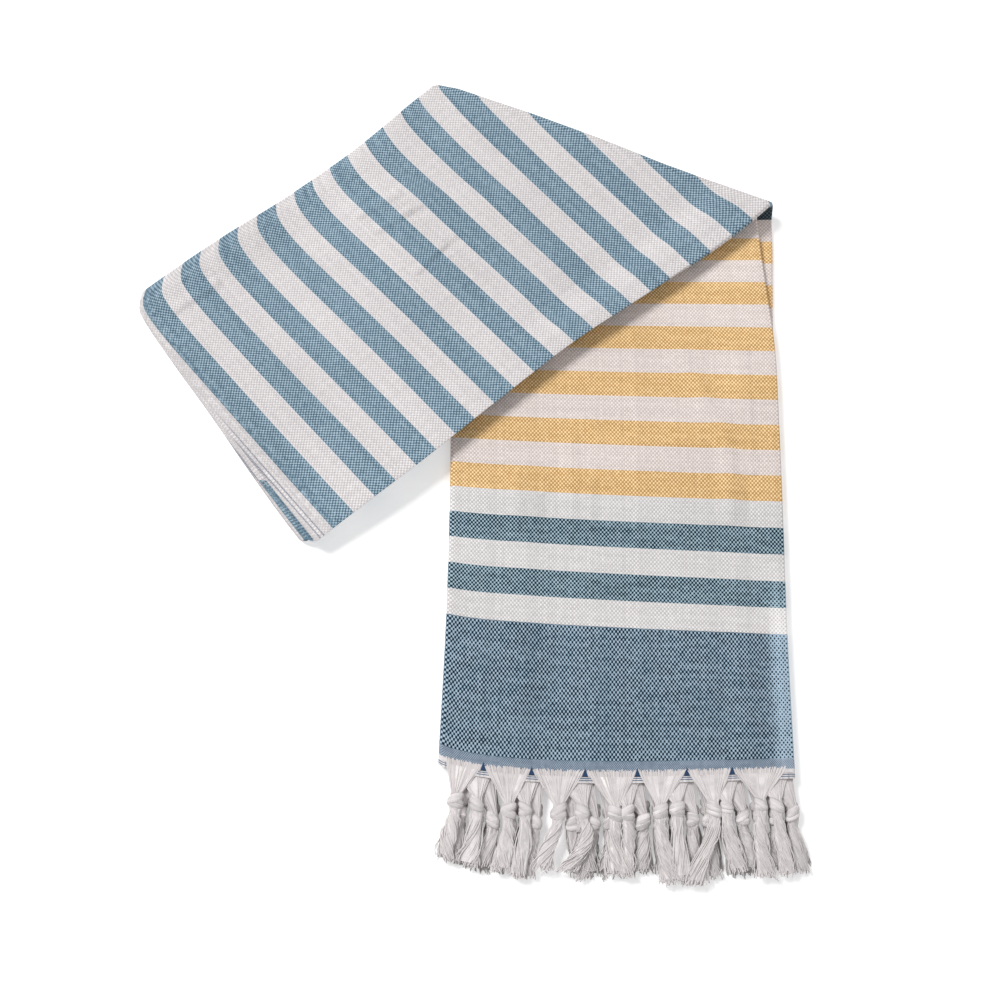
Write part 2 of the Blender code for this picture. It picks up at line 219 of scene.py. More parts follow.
@dataclass(frozen=True)
class Cloth:
    """Sizes of the cloth and of its stack of folds.

    Attributes:
        width: Across the cloth, from selvedge to selvedge.
        thickness: Thickness of the sheet.
        gap: Between two layers.
        heading: Plain weave before the wide band.
        wide_band: The wide blue band.
        stripe: One stripe.
        stripes_to_middle: Stripes from the wide band to the end fold.
        fold_depth: How deep a bend is, as a share of a half circle.
        selvedge_margin: From the middle fold to a turned in selvedge.
        arm_gap: Between the two arms.
    """

    width: float = 0.990
    thickness: float = 0.0010
    gap: float = 0.0004
    heading: float = 0.014
    wide_band: float = 0.091
    stripe: float = 0.0192
    stripes_to_middle: float = 40.5
    fold_depth: float = 0.70
    selvedge_margin: float = 0.005
    arm_gap: float = 0.0020

    @property
    def band_top(self) -> float:
        """From the cloth's end to the first stripe."""
        return self.heading + self.wide_band

    @property
    def half(self) -> float:
        """Half the length of the cloth."""
        return self.band_top + self.stripes_to_middle * self.stripe

    @property
    def layer(self) -> float:
        """From one layer to the next."""
        return self.thickness + self.gap

    @property
    def leaf(self) -> float:
        """Height of two layers."""
        return 2 * self.thickness + self.gap

    @property
    def stack(self) -> float:
        """Height of all eight layers."""
        return 4 * self.leaf + 3 * self.gap

    @property
    def end_axis(self) -> float:
        """Height of the end fold's axis."""
        return self.thickness + self.gap / 2

    @property
    def side_axis(self) -> float:
        """Height of a side fold's axis."""
        return self.leaf + self.gap / 2

    @property
    def middle_axis(self) -> float:
        """Height of the middle fold's axis."""
        return 2 * self.leaf + 1.5 * self.gap

    @property
    def turn_axis(self) -> float:
        """Height of the slanting crease's axis."""
        return self.stack + self.arm_gap / 2

    @property
    def side_fold(self) -> float:
        """From a selvedge to its side fold."""
        return (self.width / 2 - self.selvedge_margin) / 2

    @property
    def strip_width(self) -> float:
        """Width of the folded strip."""
        return self.width / 2 - self.side_fold

    def after_stripes(self, count: float) -> float:
        """Distance from the cloth's end to the edge of a stripe."""
        return self.band_top + count * self.stripe


CLOTH = Cloth()

STATIONS = (
    Station(0.0, -0.0435, -0.1910, 0.2070, -0.2015, -0.003, -0.0075),
    Station(CLOTH.after_stripes(0), -0.0395, -0.0885, 0.2090, -0.1045, -0.002, -0.0020),
    Station(CLOTH.after_stripes(6), -0.0380, 0.0280, 0.2135, 0.0160, 0.000, -0.0015),
    Station(CLOTH.after_stripes(12), -0.0400, 0.1420, 0.2172, 0.1380, 0.000, 0.0),
    Station(CLOTH.after_stripes(18), -0.0450, 0.2500, 0.2215, 0.2545, 0.002, 0.0),
    Station(CLOTH.after_stripes(24), -0.0530, 0.3590, 0.2065, 0.3730, 0.006, 0.0025),
    Station(CLOTH.after_stripes(28), -0.0555, 0.4375, 0.1940, 0.4465, 0.009, 0.0),
    Station(CLOTH.after_stripes(32), -0.0665, 0.5095, 0.1865, 0.5255, 0.010, 0.0),
    Station(CLOTH.after_stripes(36), -0.0780, 0.5835, 0.1805, 0.6015, 0.010, 0.0),
    Station(CLOTH.half, -0.0860, 0.6655, 0.1700, 0.6880, 0.009, 0.0),
)

SKEWS = (Skew(0.0, -0.0062), Skew(0.31, -0.0008), Skew(1.0, 0.0045))

BOWS = (
    Bow(0.0, 0.0),
    Bow(0.08, 0.0044),
    Bow(0.3, 0.0058),
    Bow(0.5, 0.0054),
    Bow(0.7, 0.0028),
    Bow(1.0, 0.0030),
)

# Creases, listed one by one.
CREASES = (
    Crease(Arm.LOWER, 0.030, 0.0012, 1.0, ((0.014, -0.150), (0.020, 0.020))),
    Crease(
        Arm.LOWER,
        0.015,
        0.0021,
        2.0,
        ((0.1422, 0.1123), (0.1528, 0.0905), (0.1557, 0.0855), (0.1602, 0.0698), (0.1681, 0.0584))
        + ((0.1711, 0.0446), (0.1727, 0.0205), (0.1721, -0.0031), (0.1706, -0.0148)),
    ),
    Crease(Arm.LOWER, 0.022, -0.0010, 1.0, ((0.186, -0.140), (0.190, 0.060))),
    Crease(Arm.LOWER, 0.020, 0.0011, 2.0, ((0.0145, -0.1085), (0.0141, -0.1861))),
    Crease(Arm.LOWER, 0.022, 0.0009, 2.0, ((0.0724, -0.1085), (0.0704, -0.1861))),
    Crease(Arm.LOWER, 0.020, 0.0011, 2.0, ((0.1781, -0.1085), (0.1731, -0.1861))),
    Crease(Arm.UPPER, 0.030, 0.0019, 1.0, ((-0.110, 0.245), (0.010, 0.245))),
    Crease(Arm.UPPER, 0.034, 0.0017, 1.0, ((-0.200, 0.120), (-0.120, 0.040))),
    Crease(Arm.UPPER, 0.026, -0.0019, 1.0, ((0.161, 0.253), (0.119, 0.212), (0.079, 0.180), (0.031, 0.140))),
    Crease(Arm.UPPER, 0.022, 0.0013, 1.0, ((0.172, 0.233), (0.126, 0.192), (0.086, 0.155), (0.039, 0.121))),
)

# Small creases, listed one by one.
RUMPLES = (
    Rumple(0.007, 0.0012, (0.0294, 0.854), (0.0313, 0.812)),
    Rumple(0.006, 0.0011, (0.0545, 0.685), (0.0589, 0.651)),
    Rumple(0.006, 0.0011, (0.0746, 0.685), (0.0783, 0.656)),
    Rumple(0.006, -0.0011, (0.0808, 0.659), (0.0846, 0.647)),
    Rumple(0.006, 0.0011, (0.1241, 0.687), (0.1190, 0.658)),
    Rumple(0.006, -0.0010, (0.1247, 0.669), (0.1234, 0.641)),
    Rumple(0.007, -0.0009, (0.0194, 0.673), (0.0514, 0.670)),
    Rumple(0.009, 0.0010, (0.2231, 0.317), (0.2262, 0.224)),
    Rumple(0.008, 0.0009, (0.0508, 0.209), (0.0508, 0.179)),
    Rumple(0.009, 0.0010, (0.0909, 0.242), (0.0902, 0.166)),
    Rumple(0.008, -0.0009, (0.1128, 0.205), (0.1128, 0.175)),
    Rumple(0.007, -0.0008, (0.0727, 0.195), (0.0727, 0.166)),
    Rumple(0.010, -0.0010, (0.2356, 0.100), (0.2318, 0.017)),
)


@dataclass(frozen=True)
class FoldedStrip:
    """The folds that lay the cloth out, as in the CAD.

    Attributes:
        cloth: Sizes of the cloth.
        hook_width: How far the bend of the stripes reaches in from the middle fold.
        sag_power: How near the middle fold the cloth's edge sags most.
        box_centre: Centre of the towel's box in the plan.
        crease_left: One end of the slanting crease.
        crease_right: Its other end.
        bow_run: How far the crease's bow is felt.
        end_run: Length over which the leaves part at the far end.
        leaf_step: How far they part there.
        step_from: Share of the strip's width where they start to part.
        leaf_inset: How far the upper leaf is drawn in at the side folds.
        inset_run: Where the drawing in starts along the strip, and where it is complete.
        even_run: Where it starts to be even through the stack, and where it is.
        corner_round: Size of the rounded corner.
        corner_cut: How far the corner is drawn back.
        puff_height: Height of the soft roll beside the middle fold.
        puff_place: Its distance from the fold.
        puff_width: Its width.
        puff_run: Where it starts along the strip, and where it is complete.
        drop_run: Where the upper arm starts to come down, and where it reaches the floor.
        crease_run: Places along the strip before the crease and beyond it.
        halvings: How often that range is halved to find the crease.
    """

    cloth: Cloth = CLOTH
    hook_width: float = 0.016
    sag_power: float = 0.63
    box_centre: tuple[float, float] = (-0.03102, 0.03832)
    crease_left: tuple[float, float] = (-0.0575, 0.3592)
    crease_right: tuple[float, float] = (0.2180, 0.2446)
    bow_run: float = 0.045
    end_run: float = 0.250
    leaf_step: float = 0.010
    step_from: float = 0.20
    leaf_inset: float = 0.050
    inset_run: Range = (0.300, 0.440)
    even_run: Range = (0.500, 0.600)
    corner_round: float = 0.018
    corner_cut: float = 0.010
    puff_height: float = 0.0032
    puff_place: float = 0.015
    puff_width: float = 0.014
    puff_run: Range = (0.560, 0.640)
    drop_run: Range = (-0.066, -0.190)
    crease_run: Range = (0.3, 0.7)
    halvings: int = 40

    def fold_over(
        self, x: np.ndarray, z: np.ndarray, line: float, axis: float
    ) -> tuple[np.ndarray, np.ndarray]:
        """Turn what lies beyond a line back over the rest.

        Args:
            x: Places across the line.
            z: Heights.
            line: Where the outermost face ends.
            axis: Height of the fold's axis.

        Returns:
            The places and heights after the fold.
        """
        reach = self.cloth.fold_depth * axis
        turn = math.pi * np.clip((x - line + reach) / (2 * reach), 0.0, 1.0)
        radius = axis - z
        bent = line - reach + self.cloth.fold_depth * radius * np.sin(turn)
        flat = np.where(x > line, 2 * line - x, x)
        return np.where(np.abs(x - line) < reach, bent, flat), axis - radius * np.cos(turn)

    def across(self, s: np.ndarray, h: np.ndarray) -> tuple[np.ndarray, np.ndarray]:
        """Turn the sides in and fold the cloth in the middle.

        Args:
            s: Places across the cloth.
            h: Heights.

        Returns:
            Places across the strip, and heights in its stack.
        """
        cloth = self.cloth
        x, h = self.fold_over(-s, h, -cloth.side_fold, cloth.side_axis)
        s, h = self.fold_over(-x, h, cloth.width - cloth.side_fold, cloth.side_axis)
        s, h = self.fold_over(s, h, cloth.width / 2, cloth.middle_axis)
        return cloth.width / 2 - s, h

    def strip(self, s: np.ndarray, t: np.ndarray, n: np.ndarray) -> tuple[np.ndarray, ...]:
        """Fold the sheet into the strip.

        Args:
            s: Places across the cloth.
            t: Places along it.
            n: Depths in the sheet.

        Returns:
            The places in the strip: w, v and h.
        """
        v, h = self.fold_over(t, n, self.cloth.half, self.cloth.end_axis)
        w, h = self.across(s, h)
        return w, v, h

    def along_stations(self, v: np.ndarray, column: str) -> np.ndarray:
        """A smooth curve through one column of the stations, straight beyond their ends.

        Args:
            v: Places along the strip.
            column: A field of Station.

        Returns:
            The column's value at each place.
        """
        places = np.array([station.v for station in STATIONS])
        values = np.array([getattr(station, column) for station in STATIONS])
        slopes = np.gradient(values, places)
        k = np.clip(np.searchsorted(places, v) - 1, 0, len(places) - 2)
        step = places[k + 1] - places[k]
        x = np.clip((v - places[k]) / step, 0.0, 1.0)
        inside = (
            values[k] * (1 + 2 * x) * (1 - x) ** 2
            + values[k + 1] * x * x * (3 - 2 * x)
            + step * slopes[k] * x * (1 - x) ** 2
            - step * slopes[k + 1] * x * x * (1 - x)
        )
        past = v - self.cloth.half
        return inside + slopes[0] * np.minimum(v, 0.0) + slopes[-1] * np.maximum(past, 0.0)

    def plan(self, w: np.ndarray, v: np.ndarray) -> tuple[np.ndarray, np.ndarray]:
        """Lay the strip out flat, before it is turned over at the crease.

        Args:
            w: Places across the strip.
            v: Places along it.

        Returns:
            Places in the plan: x and y.
        """
        share = w / self.cloth.strip_width
        fade = (1 - np.exp(-np.abs(w) / self.hook_width)) * (1 - share)
        hook = self.along_stations(v, "hook") * fade
        left = self.along_stations(v, "left_x"), self.along_stations(v, "left_y")
        right = self.along_stations(v, "right_x"), self.along_stations(v, "right_y")
        bend = np.sin(math.pi * np.clip(share, 0.0, 1.0) ** self.sag_power)
        sag = self.along_stations(v, "sag") * bend
        x = left[0] + (right[0] - left[0]) * share
        y = left[1] + (right[1] - left[1]) * share + hook + sag
        return x, y

    def skew(self, w: np.ndarray) -> np.ndarray:
        """How far the end fold is moved along the strip at each place across it."""
        shares = [skew.share for skew in SKEWS]
        return np.interp(w / self.cloth.strip_width, shares, [skew.along for skew in SKEWS])

    def near_end(self, v: np.ndarray) -> np.ndarray:
        """A soft step from 0 to 1 towards the end fold."""
        return ramp(v, self.cloth.half - self.end_run, self.cloth.half)

    def part_leaves(self, w: np.ndarray, v: np.ndarray, h: np.ndarray) -> tuple[np.ndarray, ...]:
        """Step the leaves at the far end, draw the upper leaf in, and swell the soft middle fold.

        Args:
            w: Places across the strip.
            v: Places along it.
            h: Heights in the stack.

        Returns:
            The places moved: w, v and h.
        """
        share = h / self.cloth.stack
        across = w / self.cloth.strip_width
        upper_leaf = smooth((h - 2 * self.cloth.leaf - self.cloth.gap) / self.cloth.gap)
        even = ramp(v, *self.even_run)
        upper_leaf = upper_leaf + (share - upper_leaf) * even
        inset = self.leaf_inset * ramp(v, *self.inset_run) * upper_leaf
        corner = self.corner_cut * np.clip(1 - w / self.corner_round, 0.0, 1.5) ** 2
        step = ramp(across, self.step_from, 1.0) * self.leaf_step * share
        puff = self.puff_height * np.exp(-(((w - self.puff_place) / self.puff_width) ** 2))
        puff = puff * ramp(v, *self.puff_run)
        along = v + self.near_end(v) * (step + self.skew(w) - corner)
        return w * (1 - inset), along, h - puff * (1 - share)

    def crease_frame(self) -> tuple[np.ndarray, np.ndarray, np.ndarray]:
        """Where the slanting crease lies.

        Returns:
            Its first point, its direction and the direction across it.
        """
        start = np.array(self.crease_left)
        run = np.array(self.crease_right) - start
        run = run / np.linalg.norm(run)
        return start, run, np.array((-run[1], run[0]))

    def beyond_crease(self, w: np.ndarray, v: np.ndarray, h: np.ndarray) -> np.ndarray:
        """How far points of the strip lie beyond the crease before the strip is turned over.

        Args:
            w: Places across the strip.
            v: Places along it.
            h: Heights in the stack.

        Returns:
            The distance, negative before the crease.
        """
        start, _, across = self.crease_frame()
        w, v, _ = self.part_leaves(w, v, h)
        x, y = self.plan(w, v)
        return (x - start[0]) * across[0] + (y - start[1]) * across[1]

    def ridge(self, crease: Crease, x: np.ndarray, y: np.ndarray) -> np.ndarray:
        """The height that one crease adds at a point of the plan.

        Args:
            crease: The crease.
            x: Places in the plan.
            y: Places in the plan.

        Returns:
            The height added at each place.
        """
        nearest = np.full(np.shape(x), np.inf)
        for (x0, y0), (x1, y1) in zip(crease.line, crease.line[1:]):
            length = math.dist((x0, y0), (x1, y1))
            share = ((x - x0) * (x1 - x0) + (y - y0) * (y1 - y0)) / length**2
            share = np.clip(share, 0.0, 1.0)
            off = np.hypot(x - x0 - share * (x1 - x0), y - y0 - share * (y1 - y0))
            nearest = np.minimum(nearest, off)
        return crease.height * np.exp(-((nearest / (crease.width / 2)) ** 2))

    def place(self, w: np.ndarray, v: np.ndarray, h: np.ndarray) -> np.ndarray:
        """Lay the strip out, turn it over at the crease and let its upper arm down.

        Args:
            w: Places across the strip.
            v: Places along it.
            h: Heights in the stack.

        Returns:
            World points, with x, y and z along the last axis.
        """
        w, v, h = self.part_leaves(w, v, h)
        x, y = self.plan(w, v)
        start, run, across = self.crease_frame()
        along = (x - start[0]) * run[0] + (y - start[1]) * run[1]
        off = (x - start[0]) * across[0] + (y - start[1]) * across[1]
        off, z = self.fold_over(off, h, 0.0, self.cloth.turn_axis)
        length = math.dist(self.crease_left, self.crease_right)
        bow = np.interp(along / length, [bow.share for bow in BOWS], [bow.out for bow in BOWS])
        off = off + bow * np.exp(np.minimum(off, 0.0) / self.bow_run)
        x = start[0] + along * run[0] + off * across[0]
        y = start[1] + along * run[1] + off * across[1]
        z = self.with_creases(x, y, z)
        drop = self.cloth.stack + self.cloth.arm_gap
        z = z - drop * ramp(x, *self.drop_run)
        return np.stack((x - self.box_centre[0], y - self.box_centre[1], z), axis=-1)

    def with_creases(self, x: np.ndarray, y: np.ndarray, z: np.ndarray) -> np.ndarray:
        """Raise each layer by the creases, the outer ones most.

        Args:
            x: Places in the plan.
            y: Places in the plan.
            z: Heights before the creases.

        Returns:
            Heights with them.
        """
        drop = self.cloth.stack + self.cloth.arm_gap
        shares = {
            Arm.LOWER: np.clip(z / self.cloth.stack, 0.0, 1.0),
            Arm.UPPER: np.clip((z - drop) / self.cloth.stack, 0.0, 1.0),
        }
        for crease in CREASES:
            z = z + self.ridge(crease, x, y) * shares[crease.arm] ** crease.depth
        return z

    def when_beyond(self, w: np.ndarray, h: np.ndarray, distance: float) -> np.ndarray:
        """The place along the strip where each column is this far beyond the crease.

        Args:
            w: Places across the strip.
            h: Heights in the stack.
            distance: How far beyond the crease.

        Returns:
            A place along the strip for each column.
        """
        low, high = (np.full_like(w, place) for place in self.crease_run)
        for _ in range(self.halvings):
            middle = (low + high) / 2
            past = self.beyond_crease(w, middle, h) > distance
            high = np.where(past, middle, high)
            low = np.where(past, low, middle)
        return (low + high) / 2


# Meshes


@dataclass
class Surface:
    """Points and faces on their way to a mesh.

    Attributes:
        points: One row for each point.
        faces: Indices of each face's corners.
        uvs: One row for each face corner, by the name of the map.
    """

    points: np.ndarray
    faces: list[tuple[int, ...]]
    uvs: dict[str, np.ndarray]

    def to_object(self, name: str, sharp: float) -> bpy.types.Object:
        """Make the mesh object.

        Args:
            name: Name of the piece.
            sharp: Edges that bend more than this many degrees stay sharp.

        Returns:
            The object, linked to the scene.
        """
        mesh = bpy.data.meshes.new(name)
        mesh.from_pydata(self.points.tolist(), [], self.faces)
        write_uvs(mesh, self.uvs)
        mesh.shade_smooth()
        mesh.set_sharp_from_angle(angle=math.radians(sharp))
        return linked(name, mesh)


class SheetGrid:
    """A folded sheet with two faces, as a grid: face, row along the cloth, column across it."""

    def __init__(self, strip: FoldedStrip, s: np.ndarray, t: np.ndarray) -> None:
        """Fold the sheet.

        Args:
            strip: The folds.
            s: Places of the columns across the cloth.
            t: Places along the cloth, by face, row and column.
        """
        self.s = s
        self.t = t
        self.rows, self.columns = t[0].shape
        n = np.array((0.0, strip.cloth.thickness))[:, None, None]
        self.w, self.v, self.h = strip.strip(s, t, n + 0 * t)
        self.points = strip.place(self.w, self.v, self.h).reshape(-1, 3)

    def faces(self) -> np.ndarray:
        """Quads of both faces of the sheet, facing outwards.

        Returns:
            One row of four indices for each quad.
        """
        row, column = np.mgrid[0 : self.rows - 1, 0 : self.columns - 1]
        first = (row * self.columns + column).ravel()
        quad = np.stack(
            (first, first + 1, first + 1 + self.columns, first + self.columns), axis=-1
        )
        other = quad[:, ::-1] + self.rows * self.columns
        return np.concatenate((quad, other))

    def rims(self) -> np.ndarray:
        """Quads that close the four edges of the sheet.

        Returns:
            One row of four indices for each quad: two of face 0, then two of face 1.
        """
        last_row, last = self.rows - 1, self.columns - 1
        down = np.arange(self.rows - 1)
        over = np.arange(self.columns - 1)
        edges = (
            ((down + 1) * self.columns, down * self.columns),
            (down * self.columns + last, (down + 1) * self.columns + last),
            (over, over + 1),
            (last_row * self.columns + over + 1, last_row * self.columns + over),
        )
        other = self.rows * self.columns
        quads = [np.stack((b, a, a + other, b + other), axis=-1) for a, b in edges]
        return np.concatenate(quads)

    def cloth_places(self) -> np.ndarray:
        """Where each point lies on the cloth: s and t."""
        s = np.broadcast_to(self.s, self.t.shape)
        return np.stack((s, self.t), axis=-1).reshape(-1, 2)


def sheet_layout(grid: SheetGrid, faces: np.ndarray, rims: np.ndarray) -> np.ndarray:
    """Lay both faces of a sheet side by side in one square, with its rims beside them.

    Args:
        grid: The sheet.
        faces: Its quads.
        rims: The quads of its edges.

    Returns:
        A place in the square for each face corner, faces first.
    """
    margin = 0.01
    rim = 0.6 * margin
    places = grid.cloth_places()
    size = places.max(axis=0) - places.min(axis=0)
    unit = (places - places.min(axis=0)) / size
    half = len(places) // 2
    square = np.stack(
        (margin + unit[:, 0] * (0.5 - 2 * margin), margin + unit[:, 1] * (1 - 2 * margin)), axis=-1
    )
    square[half:, 0] += 0.5
    corners = square[faces.ravel()]
    edge = square[rims[:, [0, 1, 1, 0]].ravel()]
    run = edge.reshape(-1, 4, 2)[:, 0] - edge.reshape(-1, 4, 2)[:, 1]
    outwards = np.stack((-run[:, 1], run[:, 0]), axis=-1)
    outwards = outwards / np.linalg.norm(outwards, axis=1)[:, None]
    edge = edge.reshape(-1, 4, 2)
    edge[:, 2:] -= outwards[:, None] * rim
    return np.concatenate((corners, edge.reshape(-1, 2)))


# Node trees


class Nodes:
    """A node tree under construction, for a material or for geometry."""

    def __init__(self, tree: bpy.types.NodeTree) -> None:
        """Start with an empty tree."""
        self.tree = tree
        tree.nodes.clear()

    def add(
        self, kind: str, settings: dict[str, object] | None = None, **inputs: Input
    ) -> bpy.types.Node:
        """Add one node: its settings first, then its values and links.

        Args:
            kind: Type of the node.
            settings: Properties of the node.
            inputs: Values or links by socket identifier, with _ for a space.

        Returns:
            The node.
        """
        node = self.tree.nodes.new(kind)
        for name, value in (settings or {}).items():
            setattr(node, name, value)
        for name, value in inputs.items():
            self.feed(node, name, value)
        return node

    def feed(self, node: bpy.types.Node, name: str, value: Input) -> None:
        """Give one input its value or link.

        Args:
            node: The node.
            name: Identifier of the input, with _ for a space.
            value: A constant, a socket or a Value.
        """
        wanted = name.replace(" ", "_")
        socket = next(s for s in node.inputs if s.identifier.replace(" ", "_") == wanted)
        if isinstance(value, Value):
            value = value.socket
        if isinstance(value, bpy.types.NodeSocket):
            self.tree.links.new(value, socket)
        elif socket.type == "VECTOR":
            socket.default_value = value[:3]
        else:
            socket.default_value = value

    def value(self, node: bpy.types.Node, name: str | int = 0) -> "Value":
        """One output of a node, ready for arithmetic."""
        return Value(self, node.outputs[name])

    def named(self, node: bpy.types.Node, identifier: str) -> "Value":
        """The output of a node that has this identifier."""
        return Value(self, next(socket for socket in node.outputs if socket.identifier == identifier))

    def math(self, operation: str, *parts: Input) -> "Value":
        """Add a Math node.

        Args:
            operation: What it does.
            parts: Its inputs, in order.

        Returns:
            Its result.
        """
        names = ("Value", "Value_001", "Value_002")
        node = self.add("ShaderNodeMath", {"operation": operation}, **dict(zip(names, parts)))
        return Value(self, node.outputs[0])

    def vector(self, operation: str, first: Input, second: Input = None, scale: Input = None) -> "Value":
        """Add a Vector Math node.

        Args:
            operation: What it does.
            first: Its first vector.
            second: Its second vector, where it takes one.
            scale: Its scale, where it takes one.

        Returns:
            Its resulting vector.
        """
        parts = {"Vector": first, "Vector_001": second, "Scale": scale}
        given = {name: part for name, part in parts.items() if part is not None}
        node = self.add("ShaderNodeVectorMath", {"operation": operation}, **given)
        return Value(self, node.outputs[0])

    def combine(self, x: Input, y: Input, z: Input = 0.0) -> "Value":
        """A vector from three values."""
        return self.value(self.add("ShaderNodeCombineXYZ", X=x, Y=y, Z=z))


class Value:
    """A node socket that takes part in Python arithmetic."""

    def __init__(self, nodes: Nodes, socket: bpy.types.NodeSocket) -> None:
        """Wrap an output socket."""
        self.nodes = nodes
        self.socket = socket

    def __add__(self, other: Input) -> "Value":
        """Sum."""
        return self.nodes.math("ADD", self, other)

    __radd__ = __add__

    def __sub__(self, other: Input) -> "Value":
        """Difference."""
        return self.nodes.math("SUBTRACT", self, other)

    def __rsub__(self, other: Input) -> "Value":
        """Difference, the other way round."""
        return self.nodes.math("SUBTRACT", other, self)

    def __mul__(self, other: Input) -> "Value":
        """Product."""
        return self.nodes.math("MULTIPLY", self, other)

    __rmul__ = __mul__

    def __truediv__(self, other: Input) -> "Value":
        """Quotient."""
        return self.nodes.math("DIVIDE", self, other)

    def __pow__(self, other: Input) -> "Value":
        """Power."""
        return self.nodes.math("POWER", self, other)

    def __mod__(self, other: Input) -> "Value":
        """Remainder."""
        return self.nodes.math("FLOORED_MODULO", self, other)

    def __gt__(self, other: Input) -> "Value":
        """1 where this is greater, else 0."""
        return self.nodes.math("GREATER_THAN", self, other)

    def __lt__(self, other: Input) -> "Value":
        """1 where this is less, else 0."""
        return self.nodes.math("LESS_THAN", self, other)

    def sin(self) -> "Value":
        """Sine."""
        return self.nodes.math("SINE", self)

    def cos(self) -> "Value":
        """Cosine."""
        return self.nodes.math("COSINE", self)

    def floor(self) -> "Value":
        """Whole part."""
        return self.nodes.math("FLOOR", self)

    def absolute(self) -> "Value":
        """Size without sign."""
        return self.nodes.math("ABSOLUTE", self)

    def minimum(self, other: Input) -> "Value":
        """The lesser one."""
        return self.nodes.math("MINIMUM", self, other)

    def maximum(self, other: Input) -> "Value":
        """The greater one."""
        return self.nodes.math("MAXIMUM", self, other)

    def step(self, low: float, high: float) -> "Value":
        """A soft step from 0 at one value to 1 at another.

        Args:
            low: Where it is 0.
            high: Where it is 1.

        Returns:
            The step.
        """
        parts = {"From_Min": low, "From_Max": high}
        settings = {"interpolation_type": "SMOOTHSTEP"}
        node = self.nodes.add("ShaderNodeMapRange", settings, Value=self, **parts)
        return self.nodes.value(node)


class Shader(Nodes):
    """The node tree of one material."""

    def __init__(self, name: str, roughness: float, **constants: float) -> None:
        """Start a material with its Principled shader.

        Args:
            name: Name of the material.
            roughness: Its roughness.
            constants: Other values of the shader, by socket identifier.
        """
        self.material = bpy.data.materials.new(name)
        self.material.use_nodes = True
        super().__init__(self.material.node_tree)
        self.surface = self.add("ShaderNodeBsdfPrincipled", Roughness=roughness, **constants)
        output = self.add("ShaderNodeOutputMaterial")
        self.tree.links.new(self.surface.outputs["BSDF"], output.inputs["Surface"])

    def uv(self, name: str) -> tuple[Value, Value]:
        """Read a UV map.

        Args:
            name: Name of the map.

        Returns:
            Its two coordinates.
        """
        places = self.add("ShaderNodeUVMap", {"uv_map": name}).outputs[0]
        parts = self.add("ShaderNodeSeparateXYZ", Vector=places)
        return self.value(parts, "X"), self.value(parts, "Y")

    def place(self) -> Input:
        """Place on the object."""
        return self.add("ShaderNodeTexCoord").outputs["Object"]

    def noise(self, x: Input, y: Input, scale: float, detail: float = 2.0) -> Value:
        """Smooth noise about 0.

        Args:
            x: First coordinate.
            y: Second coordinate.
            scale: Features in a metre.
            detail: How many finer layers it has.

        Returns:
            Noise from about -0.5 to 0.5.
        """
        at = self.combine(x, y)
        node = self.add("ShaderNodeTexNoise", Vector=at, Scale=scale, Detail=detail)
        return self.value(node, "Fac") - 0.5

    def toned(self, number: Value, seed: float, spread: float) -> Value:
        """A factor about 1 for each yarn.

        Args:
            number: Number of the yarn.
            seed: A fixed seed.
            spread: From the least factor to the greatest.

        Returns:
            The factor.
        """
        return 1.0 - spread / 2 + spread * self.scatter(number, seed)

    def scatter(self, x: Input, y: Input = 0.0) -> Value:
        """A number from 0 to 1 for each whole x and y."""
        node = self.add("ShaderNodeTexWhiteNoise", {"noise_dimensions": "2D"}, Vector=self.combine(x, y))
        return self.value(node, "Value")

    def mix(self, share: Input, first: Input, second: Input) -> Value:
        """A colour between two others.

        Args:
            share: 0 gives the first, 1 the second.
            first: A colour.
            second: A colour.

        Returns:
            The mixed colour.
        """
        settings = {"data_type": "RGBA", "blend_type": "MIX"}
        node = self.add("ShaderNodeMix", settings, Factor_Float=share, A_Color=first, B_Color=second)
        return self.named(node, "Result_Color")

    def shade(self, colour: Input, factor: Input) -> Value:
        """A colour made lighter or darker by a factor."""
        return self.vector("SCALE", colour, scale=factor)

    def bump(self, height: Input, distance: float, strength: float) -> None:
        """Raise the surface by a height from 0 to 1.

        Args:
            height: The height.
            distance: What a height of 1 stands for.
            strength: How strongly it shows.
        """
        node = self.add("ShaderNodeBump", Height=height, Distance=distance, Strength=strength)
        self.tree.links.new(node.outputs[0], self.surface.inputs["Normal"])


# Finishes

# The specular level of cotton.
COTTON_GLOSS = 0.12


class Dots(NamedTuple):
    """The two colours of a weave.

    Attributes:
        weft: Where the weft lies over.
        warp: Where the warp does.
    """

    weft: Colour
    warp: Colour


